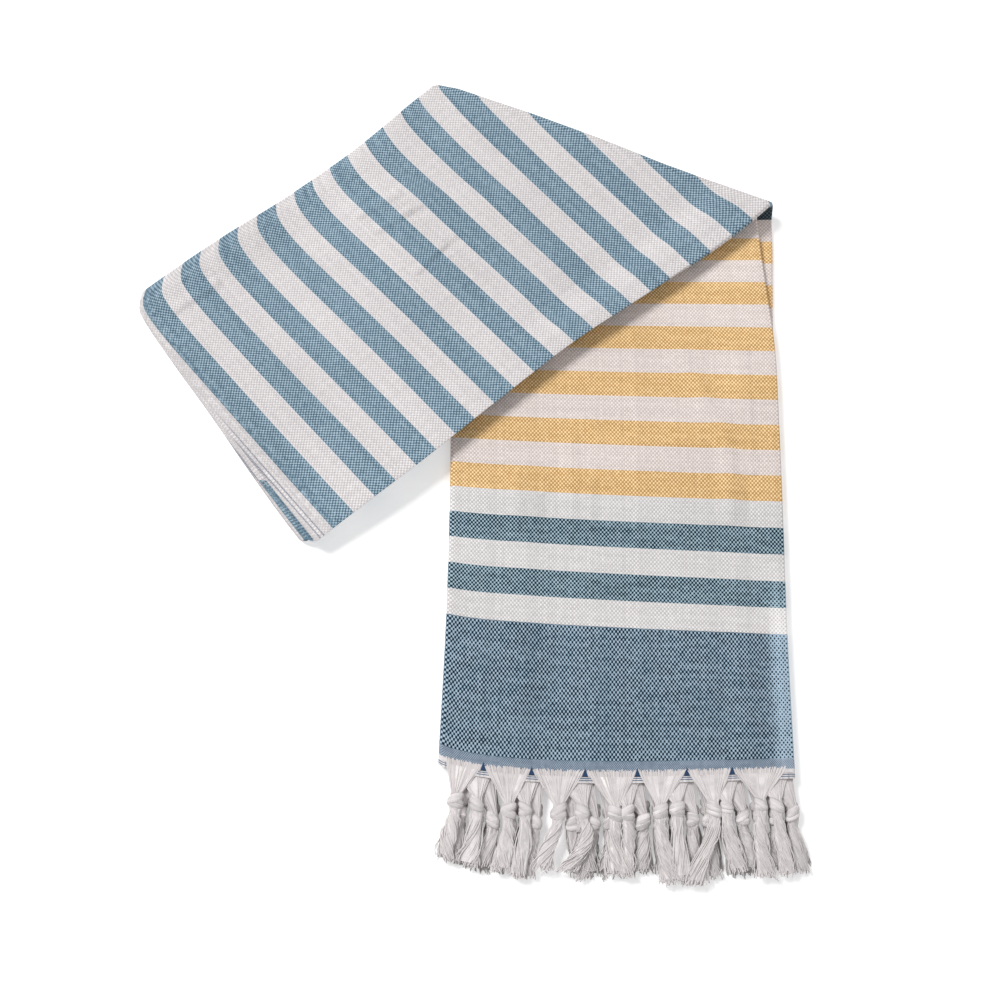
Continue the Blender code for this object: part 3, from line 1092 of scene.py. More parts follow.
@dataclass(frozen=True)
class StripedCotton:
    """Plain weave of white warp and coloured weft, in stripes.

    Attributes:
        cloth: Sizes of the cloth.
        warp_pitch: Between two warp yarns.
        weft_pitch: Between two weft yarns in the stripes.
        band_pitch: Between two weft yarns in the wide band.
        yellow_from: First yellow stripe.
        yellow_to: Last yellow stripe.
        white: White stripes.
        blue: Blue stripes.
        band: The wide blue band.
        yellow: Yellow stripes.
        lavender: The heading.
        far_blue: Blue stripes beyond the yellow ones.
        shade_navy: Painted shade in the notches between the fans of the fringe, and in the gap under the top
            leaf.
        far_from: First of the far blue stripes.
        lavender_to: Where the heading's weave ends.
        notches: Places of the notches, from the middle fold.
        notch_length: How far they reach into the cloth.
        notch_width: Half their width at the edge.
        highlight_from: Where the painted highlight beside the side fold starts, from the middle fold.
        highlight_to: Where it is lightest.
        painted_light_white: White stripes between the yellow ones, painted warmer and lighter for the light
            on the lower arm.
        far_white: White stripes beyond them, a little darker.
        loose: Bare warp at the cloth's edge.
        loose_to: How far it reaches in.
        corner: Where the blue stripe at the crease lies in deep shade, from the middle fold.
        corner_to: How far that reaches along the cloth.
        gap: From the far fold to the dark gap under the top leaf.
        gap_from: From where it shows, from the middle fold.
        slide: How far the next leaf's stripes slide towards the far fold at its corner.
        slide_to: How far they do, from the middle fold.
        waver: How far the yarns stray, as a share of their pitch.
        waver_scale: Their wavers in a metre.
        patch: Warp yarns over which a weft yarn keeps its tension.
        patchy: How much the dots differ from patch to patch.
        stray: How uneven their edges are.
        stray_scale: How fine that is.
        highlight_end: Where the painted highlight beside the side fold fades, along the cloth.
        calm_aside: Where the dots fade beside the middle fold.
        calm_along: Where they do, along the cloth.
        calm_far: Where they fade at the far fold, from that fold.
        fray: How uneven the edge of the bare warp is.
        fray_scale: How fine that is.
        spread: How much the yarns' tones differ.
        roughness: Roughness of the yarn.
    """

    cloth: Cloth = CLOTH
    warp_pitch: float = 0.001375
    weft_pitch: float = 0.001525
    band_pitch: float = 0.00180
    yellow_from: int = 6
    yellow_to: int = 16
    white: Dots = Dots(srgb(192, 189, 189), srgb(231, 228, 228))
    blue: Dots = Dots(srgb(14, 40, 54), srgb(166, 190, 202))
    band: Dots = Dots(srgb(20, 42, 58), srgb(166, 187, 203))
    yellow: Dots = Dots(srgb(184, 144, 90), srgb(248, 214, 164))
    lavender: Dots = Dots(srgb(96, 112, 130), srgb(164, 177, 192))
    far_blue: Dots = Dots(srgb(76, 100, 116), srgb(160, 181, 195))
    shade_navy: Colour = srgb(52, 74, 104)
    far_from: int = 18
    lavender_to: float = 0.0104
    notches: tuple[float, ...] = (0.0317, 0.0655, 0.1028, 0.1394, 0.1739, 0.2056)
    notch_length: float = 0.0066
    notch_width: float = 0.0025
    highlight_from: float = 0.2325
    highlight_to: float = 0.2430
    painted_light_white: Dots = Dots(srgb(200, 188, 183), srgb(236, 225, 221))
    far_white: Dots = Dots(srgb(188, 183, 184), srgb(223, 219, 219))
    loose: Colour = srgb(228, 223, 224)
    loose_to: float = 0.0032
    corner: float = 0.2260
    corner_to: float = 0.4440
    gap: float = 0.0016
    gap_from: float = 0.1000
    slide: float = 0.0190
    slide_to: float = 0.3600
    waver: float = 0.45
    waver_scale: float = 130.0
    patch: float = 23.0
    patchy: float = 0.20
    stray: float = 0.80
    stray_scale: float = 260.0
    highlight_end: Range = (0.10, 0.17)
    calm_aside: Range = (0.010, 0.034)
    calm_along: Range = (0.55, 0.65)
    calm_far: Range = (0.024, 0.010)
    fray: float = 0.0035
    fray_scale: float = 700.0
    spread: float = 0.12
    roughness: float = 0.92

    def material(self) -> bpy.types.Material:
        """Build the material.

        Returns:
            The material.
        """
        shader = Shader("striped_cotton", self.roughness, Specular_IOR_Level=COTTON_GLOSS)
        s, t = shader.uv("weave")
        aside = (s - self.cloth.width / 2).absolute()
        from_end = t.minimum(2 * self.cloth.half - t)
        in_band = from_end < self.cloth.band_top
        weft = in_band * (from_end / self.band_pitch) + (1.0 - in_band) * (from_end / self.weft_pitch)
        weft = weft + self.waver * shader.noise(t, s, self.waver_scale, 1.0)
        warp = s / self.warp_pitch + self.waver * shader.noise(s, t, self.waver_scale, 1.0)
        fine = (1.0 + (from_end < self.lavender_to)) * math.pi
        cell = (warp * fine).sin() * (weft * fine).sin()
        # Painted highlight: a lighter strip beside the side fold, where more white warp shows and the colour
        # is brightened.
        edge = aside.step(self.highlight_from, self.highlight_to) * (1.0 - from_end.step(*self.highlight_end))
        share = self.warp_share(shader, (s, t), (warp, weft), cell * self.calm(aside, from_end), edge)
        slid = self.slid(aside, from_end)
        pick = shader.toned(weft.floor(), 3.0, self.spread)
        thread = shader.toned(warp.floor(), 7.0, self.spread)
        under = shader.shade(self.dots(shader, slid, in_band, 0), pick)
        over = shader.shade(self.dots(shader, slid, in_band, 1), thread)
        # Broad blotches of tone, partly random and partly painted soft shade of broad folds; fine specks of
        # random tone.
        clouds_and_shade = 0.15 * shader.noise(s, t, 14.0, 3.0)
        specks = 0.10 * shader.noise(s, t, 420.0, 2.0)
        # Painted highlight: lighter in the strip beside the side fold, and a little lighter towards that side
        # from the yellow stripes on.
        painted_highlight = 0.14 * edge + 0.07 * aside.step(0.16, 0.23) * from_end.step(0.24, 0.33)
        tone = (1.0 + clouds_and_shade + specks) * (1.0 + painted_highlight) * self.shade_at(aside, from_end)
        colour = shader.shade(shader.mix(share, under, over), tone)
        ragged = self.loose_to - from_end + self.fray * shader.noise(s, 0.0, self.fray_scale, 2.0)
        bare = shader.shade(self.loose, 0.90 + 0.14 * shader.scatter(warp.floor(), 11.0))
        colour = shader.mix(ragged.step(-0.0004, 0.0008), colour, bare)
        # Painted shade in navy: notches where the fans of the fringe part, and a line in the gap under the
        # top leaf at the far end.
        colour = shader.mix(self.painted_notch_shade(aside, from_end), colour, self.shade_navy)
        colour = shader.mix(self.gap_at(aside, from_end), colour, self.shade_navy)
        shader.feed(shader.surface, "Base Color", colour)
        knuckles = 0.00015 * cell.absolute() ** 0.6
        fuzz = 0.00005 * shader.noise(s, t, 900.0, 1.0)
        shader.bump(knuckles + fuzz + self.rumpled(aside, from_end), 1.0, 1.0)
        return shader.material

    def calm(self, aside: Value, from_end: Value) -> Value:
        """How strongly the dots show: less beside the middle fold and at the far fold.

        Args:
            aside: Distance from the middle fold.
            from_end: Distance from the nearer end.

        Returns:
            Their strength, up to 1.
        """
        middle = (1.0 - aside.step(*self.calm_aside)) * from_end.step(*self.calm_along)
        start, stop = (self.cloth.half - place for place in self.calm_far)
        return (1.0 - 0.5 * middle) * (1.0 - 0.75 * from_end.step(start, stop))

    def warp_share(
        self,
        shader: Shader,
        place: tuple[Value, Value],
        yarns: tuple[Value, Value],
        cell: Value,
        edge: Value,
    ) -> Value:
        """How much of the warp shows.

        Args:
            shader: The material's tree.
            place: Place across the cloth, and along it.
            yarns: Numbers of the warp yarn and of the weft yarn.
            cell: The wave of the weave, above 0 where the weft lies over.
            edge: 1 in the painted highlight beside the side fold, else 0; more warp shows there.

        Returns:
            0 where the weft lies over, 1 where the warp does.
        """
        warp, weft = yarns
        patchy = self.patchy * (shader.scatter(weft.floor(), (warp / self.patch).floor()) - 0.5)
        uneven = patchy + self.stray * shader.noise(*place, self.stray_scale, 2.0)
        return (0.0 - cell + uneven + 0.36 * edge - 0.06).step(-0.32, 0.38)

    def shade_at(self, aside: Value, from_end: Value) -> Value:
        """Deep shade on the blue stripe at the crease's lower end.

        Args:
            aside: Distance from the middle fold.
            from_end: Distance from the nearer end.

        Returns:
            1, or less in the shade.
        """
        first = from_end > self.cloth.after_stripes(self.far_from - 1)
        deep = aside.step(self.corner, self.corner + 0.004) * first * (from_end < self.corner_to)
        return 1.0 - 0.72 * deep

    def slid(self, aside: Value, from_end: Value) -> Value:
        """Distance from the nearer end, less where the next leaf's stripes slide at the far fold.

        Args:
            aside: Distance from the middle fold.
            from_end: Distance from the nearer end.

        Returns:
            The distance that the stripes read.
        """
        under = self.cloth.strip_width + 0.0004
        share = (1.0 - aside.step(under, self.slide_to)) * aside.step(under - 0.0008, under)
        return from_end - self.slide * share * from_end.step(self.cloth.half - 0.070, self.cloth.half - 0.020)

    def gap_at(self, aside: Value, from_end: Value) -> Value:
        """The share of shade in the thin gap under the top leaf at the far end.

        Args:
            aside: Distance from the middle fold.
            from_end: Distance from the nearer end.

        Returns:
            The share.
        """
        inset = self.cloth.half - from_end
        line = 1.0 - (inset - self.gap).absolute().step(0.0003, 0.0008)
        top = aside.step(self.gap_from, self.gap_from + 0.060) * (aside < self.cloth.strip_width)
        return line * top * (0.50 + 0.30 * (aside * (2 * math.pi / self.warp_pitch)).sin())

    def rumpled(self, aside: Value, from_end: Value) -> Value:
        """Height of the small creases.

        Args:
            aside: Distance from the middle fold.
            from_end: Distance from the nearer end.

        Returns:
            The height, in metres.
        """
        total = aside * 0.0
        for rumple in RUMPLES:
            run = (rumple.end[0] - rumple.start[0], rumple.end[1] - rumple.start[1])
            length = run[0] ** 2 + run[1] ** 2
            x, y = aside - rumple.start[0], from_end - rumple.start[1]
            along = (x * (run[0] / length) + y * (run[1] / length)).maximum(0.0).minimum(1.0)
            x, y = x - along * run[0], y - along * run[1]
            near = (1.0 - (x * x + y * y) / rumple.width**2).maximum(0.0)
            total = total + rumple.height * near * near
        return total

    def painted_notch_shade(self, aside: Value, from_end: Value) -> Value:
        """1 in the dark notches where the fans of the fringe part, else 0.

        Args:
            aside: Distance from the middle fold.
            from_end: Distance from the nearer end.

        Returns:
            The share of navy painted shade.
        """
        # The notches are painted shade where the fans of the fringe part.
        nearest = (aside - self.notches[0]).absolute()
        for place in self.notches[1:]:
            nearest = nearest.minimum((aside - place).absolute())
        width = (1.0 - from_end / self.notch_length) * self.notch_width
        return (width - nearest).step(0.0, 0.0005)

    def dots(self, shader: Shader, from_end: Value, in_band: Value, which: int) -> Value:
        """One of the two colours of the weave at a distance from the nearer end.

        Args:
            shader: The material's tree.
            from_end: Distance from the nearer end.
            in_band: 1 where the wide band or the heading is.
            which: 0 for the weft, 1 for the warp.

        Returns:
            The colour.
        """
        number = ((from_end - self.cloth.band_top) / self.cloth.stripe).floor() + 1.0
        coloured = (number % 2.0) < 0.5
        yellow = (number > self.yellow_from - 0.5) * (number < self.yellow_to + 0.5)
        far = number > self.far_from - 0.5
        blue = shader.mix(far, self.blue[which], self.far_blue[which])
        stripes = shader.mix(yellow, blue, self.yellow[which])
        # The white stripes are one white yarn in three tones: painted warmer and lighter between the yellow
        # stripes for the light on the lower arm, a little darker beyond them.
        lit_whites = (number > self.yellow_from - 0.5) * (number < self.yellow_to + 1.5)
        white = shader.mix(lit_whites, self.white[which], self.painted_light_white[which])
        white = shader.mix(far, white, self.far_white[which])
        stripes = shader.mix(coloured, white, stripes)
        heading = from_end < self.lavender_to
        band = shader.mix(heading, self.band[which], self.lavender[which])
        return shader.mix(in_band, stripes, band)


@dataclass(frozen=True)
class FringeYarn:
    """Undyed twisted cotton yarn, with two blue weft yarns in the heading.

    Attributes:
        white: Colour of the yarn.
        blue: Colour of the two weft yarns.
        first_pick: From the cloth's edge to the first of them.
        second_pick: To the second.
        pick: Half the width of one.
        roughness: Its roughness.
        lay: Length of one turn of its twist.
    """

    white: Colour = srgb(236, 230, 230)
    blue: Colour = srgb(74, 104, 134)
    first_pick: float = 0.0012
    second_pick: float = 0.0026
    pick: float = 0.0003
    roughness: float = 0.95
    lay: float = 0.0035

    def material(self) -> bpy.types.Material:
        """Build the material.

        Returns:
            The material.
        """
        shader = Shader("fringe_yarn", self.roughness, Specular_IOR_Level=COTTON_GLOSS)
        around, along = shader.uv("yarn")
        number = around.floor()
        # Random tone by yarn and along it, partly real tone and partly painted light and shade of lit and
        # shaded strands.
        tone_and_shade_by_yarn = 0.32 * shader.scatter(number, 3.0)
        tone_and_shade_by_place = 0.80 * shader.noise(number * 0.37, along, 110.0, 3.0)
        first = (along - self.first_pick).absolute() < self.pick
        second = (along - self.second_pick).absolute() < self.pick
        blue = (around < -0.5) * first.maximum(second)
        height = shader.value(shader.add("ShaderNodeSeparateXYZ", Vector=shader.place()), "Z")
        # Painted shade: yarns lower down, nearer the floor and under the others, are darker.
        painted_low_shade = 0.66 + 0.34 * height.step(0.001, 0.011)
        tone = (0.74 + tone_and_shade_by_yarn + tone_and_shade_by_place) * painted_low_shade
        colour = shader.mix(blue, shader.shade(self.white, tone), self.blue)
        shader.feed(shader.surface, "Base Color", colour)
        twist = ((around + along / self.lay) * (4 * math.pi)).sin()
        shader.bump(0.5 + 0.5 * twist, 0.00030, 0.7)
        return shader.material


@dataclass(frozen=True)
class PaleFloor:
    """A plain, pale, matt floor.

    Attributes:
        colour: Its colour.
        glow: How much light it gives off.
        roughness: Its roughness.
    """

    colour: Colour = srgb(244, 244, 244)
    glow: float = 0.32
    roughness: float = 0.9

    def material(self) -> bpy.types.Material:
        """Build the material.

        Returns:
            The material.
        """
        shader = Shader("pale_floor", self.roughness, Emission_Strength=self.glow)
        shader.feed(shader.surface, "Emission Color", (1.0, 1.0, 1.0, 1.0))
        shader.feed(shader.surface, "Base Color", self.colour)
        return shader.material


# Pieces


@dataclass
class Towel:
    """The cloth of the towel, both faces of it.

    Attributes:
        strip: The folds.
        hidden_columns: Columns of a turned in panel.
        shown_columns: Columns of an outer panel.
        side_steps: Columns around a side fold.
        middle_steps: Columns around the middle fold.
        end_steps: Rows around the end fold.
        turn_rows: Rows around the slanting crease.
        first_rows: Rows of the outer ply before and after the crease.
        second_rows: Rows of the inner ply before and after the crease.
        bend: How far the stripes bend beside the crease's lower end.
        bend_from: Where the bend starts along the strip, and where it is complete.
        bend_to: Where it starts to fade, and where it ends.
        bend_aside: Where it starts from the middle fold, and where it is complete.
    """

    strip: FoldedStrip
    hidden_columns: int = 12
    shown_columns: int = 56
    side_steps: int = 10
    middle_steps: int = 14
    end_steps: int = 8
    turn_rows: int = 14
    first_rows: tuple[int, int] = (96, 84)
    second_rows: tuple[int, int] = (32, 28)
    bend: float = 0.0042
    bend_from: Range = (0.437, 0.449)
    bend_to: Range = (0.460, 0.515)
    bend_aside: Range = (0.214, 0.238)

    def columns(self) -> np.ndarray:
        """Places across the cloth for the mesh's columns.

        Returns:
            The places, from the first selvedge to the second.
        """
        cloth = self.strip.cloth
        side = cloth.fold_depth * cloth.side_axis
        middle = cloth.fold_depth * cloth.middle_axis
        hidden = spaced(0.0, cloth.side_fold - side, self.hidden_columns)
        half = hidden + spaced(cloth.side_fold - side, cloth.side_fold + side, self.side_steps)
        half += spaced(cloth.side_fold + side, cloth.width / 2 - middle, self.shown_columns)
        bend = spaced(cloth.width / 2 - middle, cloth.width / 2 + middle, self.middle_steps)
        mirrored = [cloth.width - s for s in reversed(half)]
        return np.array(half + bend + [cloth.width / 2 + middle] + mirrored)

    def rows(self, w: np.ndarray, h: np.ndarray, counts: tuple[int, int]) -> np.ndarray:
        """Places along the strip for each column, with rows parallel to the crease at it.

        Args:
            w: Places of the columns across the strip.
            h: Their heights in the stack.
            counts: Rows before and after the crease.

        Returns:
            Places along the strip, by row and column.
        """
        strip = self.strip
        reach = strip.cloth.fold_depth * strip.cloth.turn_axis
        steps = [reach * (2 * k / self.turn_rows - 1) for k in range(self.turn_rows + 1)]
        turn = [strip.when_beyond(w, h, step) for step in steps]
        end = strip.cloth.half - strip.cloth.fold_depth * strip.cloth.end_axis
        before, after = counts
        lower = [turn[0] * k / before for k in range(before)]
        upper = [turn[-1] + (end - turn[-1]) * k / after for k in range(1, after + 1)]
        return np.array(lower + turn + upper)

    def both_plies(self, s: np.ndarray, n: float) -> np.ndarray:
        """Places along the cloth for each column, from one fringed end to the other.

        Args:
            s: Places of the columns across the cloth.
            n: Depth in the sheet.

        Returns:
            Places along the cloth, by row and column.
        """
        cloth = self.strip.cloth
        bend = cloth.fold_depth * cloth.end_axis
        w, lower_h = self.strip.across(s, n + 0 * s)
        _, upper_h = self.strip.across(s, 2 * cloth.end_axis - n + 0 * s)
        first = self.rows(w, lower_h, self.first_rows)
        second = 2 * cloth.half - self.rows(w, upper_h, self.second_rows)[::-1]
        turn = spaced(cloth.half - bend, cloth.half + bend, self.end_steps)
        return np.concatenate((first, np.array([np.full_like(s, t) for t in turn[1:]]), second))

    def pattern_places(self, grid: SheetGrid) -> np.ndarray:
        """Where each point lies in the woven pattern.

        The end fold lies a little askew on it, and its stripes bend beside the crease's lower end.

        Args:
            grid: The folded sheet.

        Returns:
            s and t in the pattern for each point.
        """
        places = grid.cloth_places()
        shift = self.strip.skew(grid.w) * self.strip.near_end(grid.v)
        along = ramp(grid.v, *self.bend_from) * (1 - ramp(grid.v, *self.bend_to))
        shift = shift + self.bend * along * ramp(grid.w, *self.bend_aside)
        turned = places[:, 1] > self.strip.cloth.half
        places[:, 1] += np.where(turned, -1.0, 1.0) * shift.ravel()
        return places

    def build(self) -> bpy.types.Object:
        """Fold the sheet and make its mesh.

        Returns:
            The towel.
        """
        s = self.columns()
        t = np.array([self.both_plies(s, n) for n in (0.0, self.strip.cloth.thickness)])
        grid = SheetGrid(self.strip, s, t)
        faces, rims = grid.faces(), grid.rims()
        quads = np.concatenate((faces, rims))
        uvs = {
            "weave": self.pattern_places(grid)[quads.ravel()],
            "OFBake": sheet_layout(grid, faces, rims),
        }
        surface = Surface(grid.points, [tuple(quad) for quad in quads.tolist()], uvs)
        return surface.to_object("towel_cloth", 55)

    def dress(self, obj: bpy.types.Object, finish: StripedCotton) -> None:
        """Args:
            obj: The towel.
            finish: Its finish.
        """
        obj.data.materials.append(finish.material())
        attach(obj, "root")
        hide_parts("towel")


class Section(NamedTuple):
    """One section of a tassel below its neck, as in the CAD.

    Attributes:
        out: Distance from the cloth.
        thickness: Its thickness.
        under: Height of its underside.
    """

    out: float
    thickness: float
    under: float


class Place(NamedTuple):
    """Where the tassels of a layer lie, and how full they are.

    Attributes:
        slot: Steps sideways.
        level: Which of the three levels.
        knot_out: From the cloth to the middle of the knot.
        yarns: How many yarns each has.
        flare: Half its width at the tip.
        lift: How far its root lies over the middle of the layer.
    """

    slot: int
    level: int
    knot_out: float
    yarns: int
    flare: float
    lift: float = 0.0


class Guide(NamedTuple):
    """A line that a bundle of yarns follows.

    Attributes:
        points: Points of the line.
        side: Directions across it, in the plan.
        over: Directions out of the floor.
        half_width: Half the bundle's width at each point.
        half_height: Half its height at each point.
        twist: How far it is turned at each point, in radians.
        rope: How far its yarns gather into four strands, from 0 to 1.
        frizz: How far single yarns stray at each point.
        yarns: How many yarns it has.
        cut: How uneven its far end is, as a share of its length.
    """

    points: np.ndarray
    side: np.ndarray
    over: np.ndarray
    half_width: np.ndarray
    half_height: np.ndarray
    twist: np.ndarray
    rope: np.ndarray
    frizz: np.ndarray
    yarns: int
    cut: float


class Lie(NamedTuple):
    """How one tassel of the top layer lies, in places from the middle fold.

    Attributes:
        low: One side of its root.
        high: The other side of its root.
        knot: Place of its knot.
        lean: How far its tip leans past its knot.
        length: From the cloth to its tip.
    """

    low: float
    high: float
    knot: float
    lean: float
    length: float


@dataclass(frozen=True)
class Roll:
    """A smooth bundle of strands with an oval section, along a line.

    Attributes:
        points: Points of the line.
        side: Directions across it.
        over: Directions out of it.
        half_width: Half its width at each point.
        half_height: Half its height at each point.
        strands: Strands around it.
    """

    points: np.ndarray
    side: np.ndarray
    over: np.ndarray
    half_width: np.ndarray
    half_height: np.ndarray
    strands: int

    def surface(self, number: int, cell: tuple[int, int]) -> Surface:
        """Make its closed tube.

        Args:
            number: Number of its first strand.
            cell: Its column in the layout, and how many there are.

        Returns:
            Its surface, with both UV maps.
        """
        sides, count = 10, len(self.points)
        turn = 2 * math.pi * np.arange(sides) / sides
        across = self.half_width[:, None, None] * self.side[:, None] * np.cos(turn)[None, :, None]
        outward = self.half_height[:, None, None] * self.over[:, None] * np.sin(turn)[None, :, None]
        points = self.points[:, None] + across + outward
        points[..., 2] = np.maximum(points[..., 2], 0.0003)
        ring, step = np.mgrid[0 : count - 1, 0:sides]
        ring, step = ring.ravel(), step.ravel()
        after = (step + 1) % sides
        corners = (ring * sides + step, ring * sides + after)
        corners += ((ring + 1) * sides + after, (ring + 1) * sides + step)
        faces = [tuple(quad) for quad in np.stack(corners, axis=-1).tolist()]
        faces.append(tuple(range(sides))[::-1])
        faces.append(tuple(range((count - 1) * sides, count * sides)))
        length = np.concatenate(([0.0], np.linalg.norm(np.diff(self.points, axis=0), axis=1).cumsum()))
        turns = np.stack((step, step + 1, step + 1, step), axis=-1).ravel() / sides
        rings = np.stack((ring, ring, ring + 1, ring + 1), axis=-1).ravel()
        caps = np.repeat((0, count - 1), sides)
        turns = np.concatenate((turns, np.zeros(2 * sides)))
        rings = np.concatenate((rings, caps))
        yarn = np.stack((number + self.strands * turns * 0.9999, length[rings]), axis=-1)
        column = (cell[0] + 0.1 + 0.8 * turns) / cell[1]
        bake = np.stack((column, 0.885 + 0.06 * rings / (count - 1)), axis=-1)
        return Surface(points.reshape(-1, 3), faces, {"yarn": yarn, "OFBake": bake})


def gathered(surfaces: Sequence[Surface]) -> Surface:
    """Gather several surfaces into one.

    Args:
        surfaces: The surfaces, all with the same UV maps.

    Returns:
        One surface.
    """
    starts = np.cumsum([0] + [len(surface.points) for surface in surfaces])
    faces = []
    for surface, start in zip(surfaces, starts.tolist()):
        faces += [tuple(corner + start for corner in face) for face in surface.faces]
    uvs = {title: np.concatenate([surface.uvs[title] for surface in surfaces]) for title in surfaces[0].uvs}
    return Surface(np.concatenate([surface.points for surface in surfaces]), faces, uvs)


LEVELS = (
    (
        Section(0.0240, 0.0062, 0.0000),
        Section(0.0300, 0.0062, 0.0000),
        Section(0.0325, 0.0036, 0.0000),
        Section(0.0500, 0.0040, 0.0000),
        Section(0.0690, 0.0030, 0.0000),
    ),
    (
        Section(0.0240, 0.0016, 0.0066),
        Section(0.0300, 0.0016, 0.0066),
        Section(0.0345, 0.0058, 0.0043),
        Section(0.0405, 0.0058, 0.0043),
        Section(0.0430, 0.0034, 0.0043),
        Section(0.0550, 0.0036, 0.0044),
        Section(0.0700, 0.0028, 0.0037),
    ),
    (
        Section(0.0240, 0.0058, 0.0086),
        Section(0.0300, 0.0058, 0.0086),
        Section(0.0335, 0.0030, 0.0105),
        Section(0.0410, 0.0032, 0.0105),
        Section(0.0480, 0.0036, 0.0086),
        Section(0.0600, 0.0034, 0.0082),
        Section(0.0710, 0.0026, 0.0072),
    ),
)

# The knots lie nearer the cloth than in the CAD by this much.
KNOTS_NEARER = 0.0050

PLACES = (
    Place(-1, 0, 0.0235, 12, 0.0064),
    Place(0, 0, 0.0235, 12, 0.0064),
    Place(1, 0, 0.0235, 12, 0.0064),
    Place(-1, 1, 0.0310, 22, 0.0064),
    Place(0, 1, 0.0310, 22, 0.0064),
    Place(1, 1, 0.0310, 46, 0.0064),
    Place(0, 2, 0.0235, 46, 0.0072),
    Place(-1, 2, 0.0235, 64, 0.0072, 0.0007),
)
TOP = len(PLACES) - 1


@dataclass(frozen=True)
class Tassel:
    """One knotted tassel: the yarns fan in from the cloth's edge, knot and hang on.

    Attributes:
        strip: The folds.
        layer: Layer of the stack that it comes from, from the bottom.
        low: One side of its root, from the middle fold.
        high: The other side of its root.
        knot: Place of its knot, from the middle fold.
        knot_out: From the cloth to the middle of the knot.
        size: Size of the knot, beside a usual one.
        slants: How far the knot's two bands slant along the tassel.
        lean: How far its tip leans past its knot.
        curl: How far it swings to one side on the way.
        length: From the cloth to its tip.
        yarns: How many yarns it has.
        turns: Turns of its rope-like twist.
        flare: Half its width at the tip.
    """

    strip: FoldedStrip
    layer: int
    low: float
    high: float
    knot: float
    knot_out: float
    size: float
    slants: tuple[float, float]
    lean: float
    curl: float
    length: float
    yarns: int
    turns: float
    flare: float

    def height(self, out: np.ndarray) -> np.ndarray:
        """Height of the bundle's middle.

        Args:
            out: Distances from the cloth.

        Returns:
            The height at each.
        """
        cloth = self.strip.cloth
        place = PLACES[self.layer]
        root = self.layer * cloth.layer + cloth.thickness / 2
        over = root + place.lift
        sections = LEVELS[place.level]
        outs = [0.002, 0.010] + [section.out - KNOTS_NEARER for section in sections]
        middles = [section.under + section.thickness / 2 for section in sections]
        return np.interp(out, outs, [over, root] + middles)

    def frame_at(self, w: np.ndarray, out: np.ndarray) -> tuple[np.ndarray, ...]:
        """World points of the tassel's middle line, and the directions beside it.

        Args:
            w: Places from the middle fold.
            out: Distances from the cloth.

        Returns:
            Points, side directions and along directions.
        """
        h = self.height(out)
        step = 0.001
        points = self.strip.place(w, -out, h)
        side = (self.strip.place(w + step, -out, h) - points) / step
        along = (self.strip.place(w, -out - step, h) - points) / step
        return points, side, along

    def body(self) -> Guide:
        """The yarns from the cloth's edge, through the knot, to the tip.

        Returns:
            Their guide.
        """
        half_knot = 0.0048
        neck, under = self.knot_out - half_knot, self.knot_out + half_knot
        fan = np.linspace(-0.0050, neck, 6)
        tail = np.linspace(under, self.length, 12)
        out = np.concatenate((fan, (self.knot_out,), tail))
        middle = (self.low + self.high) / 2
        share = np.clip((out + 0.0040) / (neck + 0.0040), 0.0, 1.0)
        hang = np.clip((out - under) / (self.length - under), 0.0, 1.0)
        w = middle + (self.knot - middle) * share + self.lean * smooth(hang)
        w = w + self.curl * np.sin(math.pi * hang)
        points, side, _ = self.frame_at(w, out)
        root = (self.high - self.low) / 2
        marks = (-0.0040, neck, self.knot_out, under, 0.6 * self.length, self.length)
        widths = (root, 0.0032, 0.0042, 0.0040, 0.0052, self.flare)
        heights = (0.0002, 0.0019, 0.0022, 0.0019, 0.0020, 0.0015)
        return Guide(
            points,
            side,
            over=np.broadcast_to((0.0, 0.0, 1.0), points.shape),
            half_width=np.interp(out, marks, widths),
            half_height=np.interp(out, marks, heights),
            twist=2 * math.pi * self.turns * hang**0.8,
            rope=smooth(hang * 6.0),
            frizz=0.0004 + 0.0017 * hang**1.5,
            yarns=self.yarns,
            cut=0.045,
        )

    def core(self, body: Guide) -> Roll:
        """What fills the bundle between its yarns.

        Args:
            body: The guide of its yarns.

        Returns:
            The roll.
        """
        inner = slice(1, -1)
        size = np.linspace(0.92, 0.66, len(body.points))[inner]
        wide, tall = body.half_width[inner] * size, body.half_height[inner] * size
        return Roll(body.points[inner], body.side[inner], body.over[inner], wide, tall, 14)

    def band(self, shift: float, slant: float, tall: float) -> Roll:
        """One band of the knot, slanting around the bundle.

        Args:
            shift: Its place along the tassel, from the middle of the knot.
            slant: How far it slants along the tassel, as a share of its width.
            tall: Its height over the bundle's middle.

        Returns:
            The roll.
        """
        steps = 13
        angle = np.linspace(-0.32 * math.pi, 1.32 * math.pi, steps)
        out = np.full(steps, self.knot_out + shift * self.size)
        points, side, along = self.frame_at(np.full(steps, self.knot), out)
        across = 0.0042 * self.size * np.cos(angle)
        up = np.array((0.0, 0.0, 1.0))
        line = points + side * across[:, None] + along * (slant * across)[:, None]
        line = line + up * (tall * self.size * np.sin(angle))[:, None]
        outward = side * np.cos(angle)[:, None] * 0.8 + up * np.sin(angle)[:, None]
        outward = outward / np.linalg.norm(outward, axis=1)[:, None]
        run = np.gradient(line, axis=0)
        run = run / np.linalg.norm(run, axis=1)[:, None]
        beside = np.cross(outward, run)
        beside = beside / np.linalg.norm(beside, axis=1)[:, None]
        swell = 0.72 + 0.28 * np.maximum(np.sin(angle), 0.0)
        return Roll(line, beside, outward, 0.0030 * self.size * swell, 0.0014 * self.size * swell, 8)

    def rolls(self, body: Guide) -> list[Roll]:
        """The smooth rolls of the tassel: its core and the two bands of its knot.

        Args:
            body: The guide of its yarns.

        Returns:
            The three rolls.
        """
        first = self.band(-0.0013, self.slants[0], 0.0025)
        second = self.band(0.0016, self.slants[1], 0.0020)
        return [self.core(body), first, second]


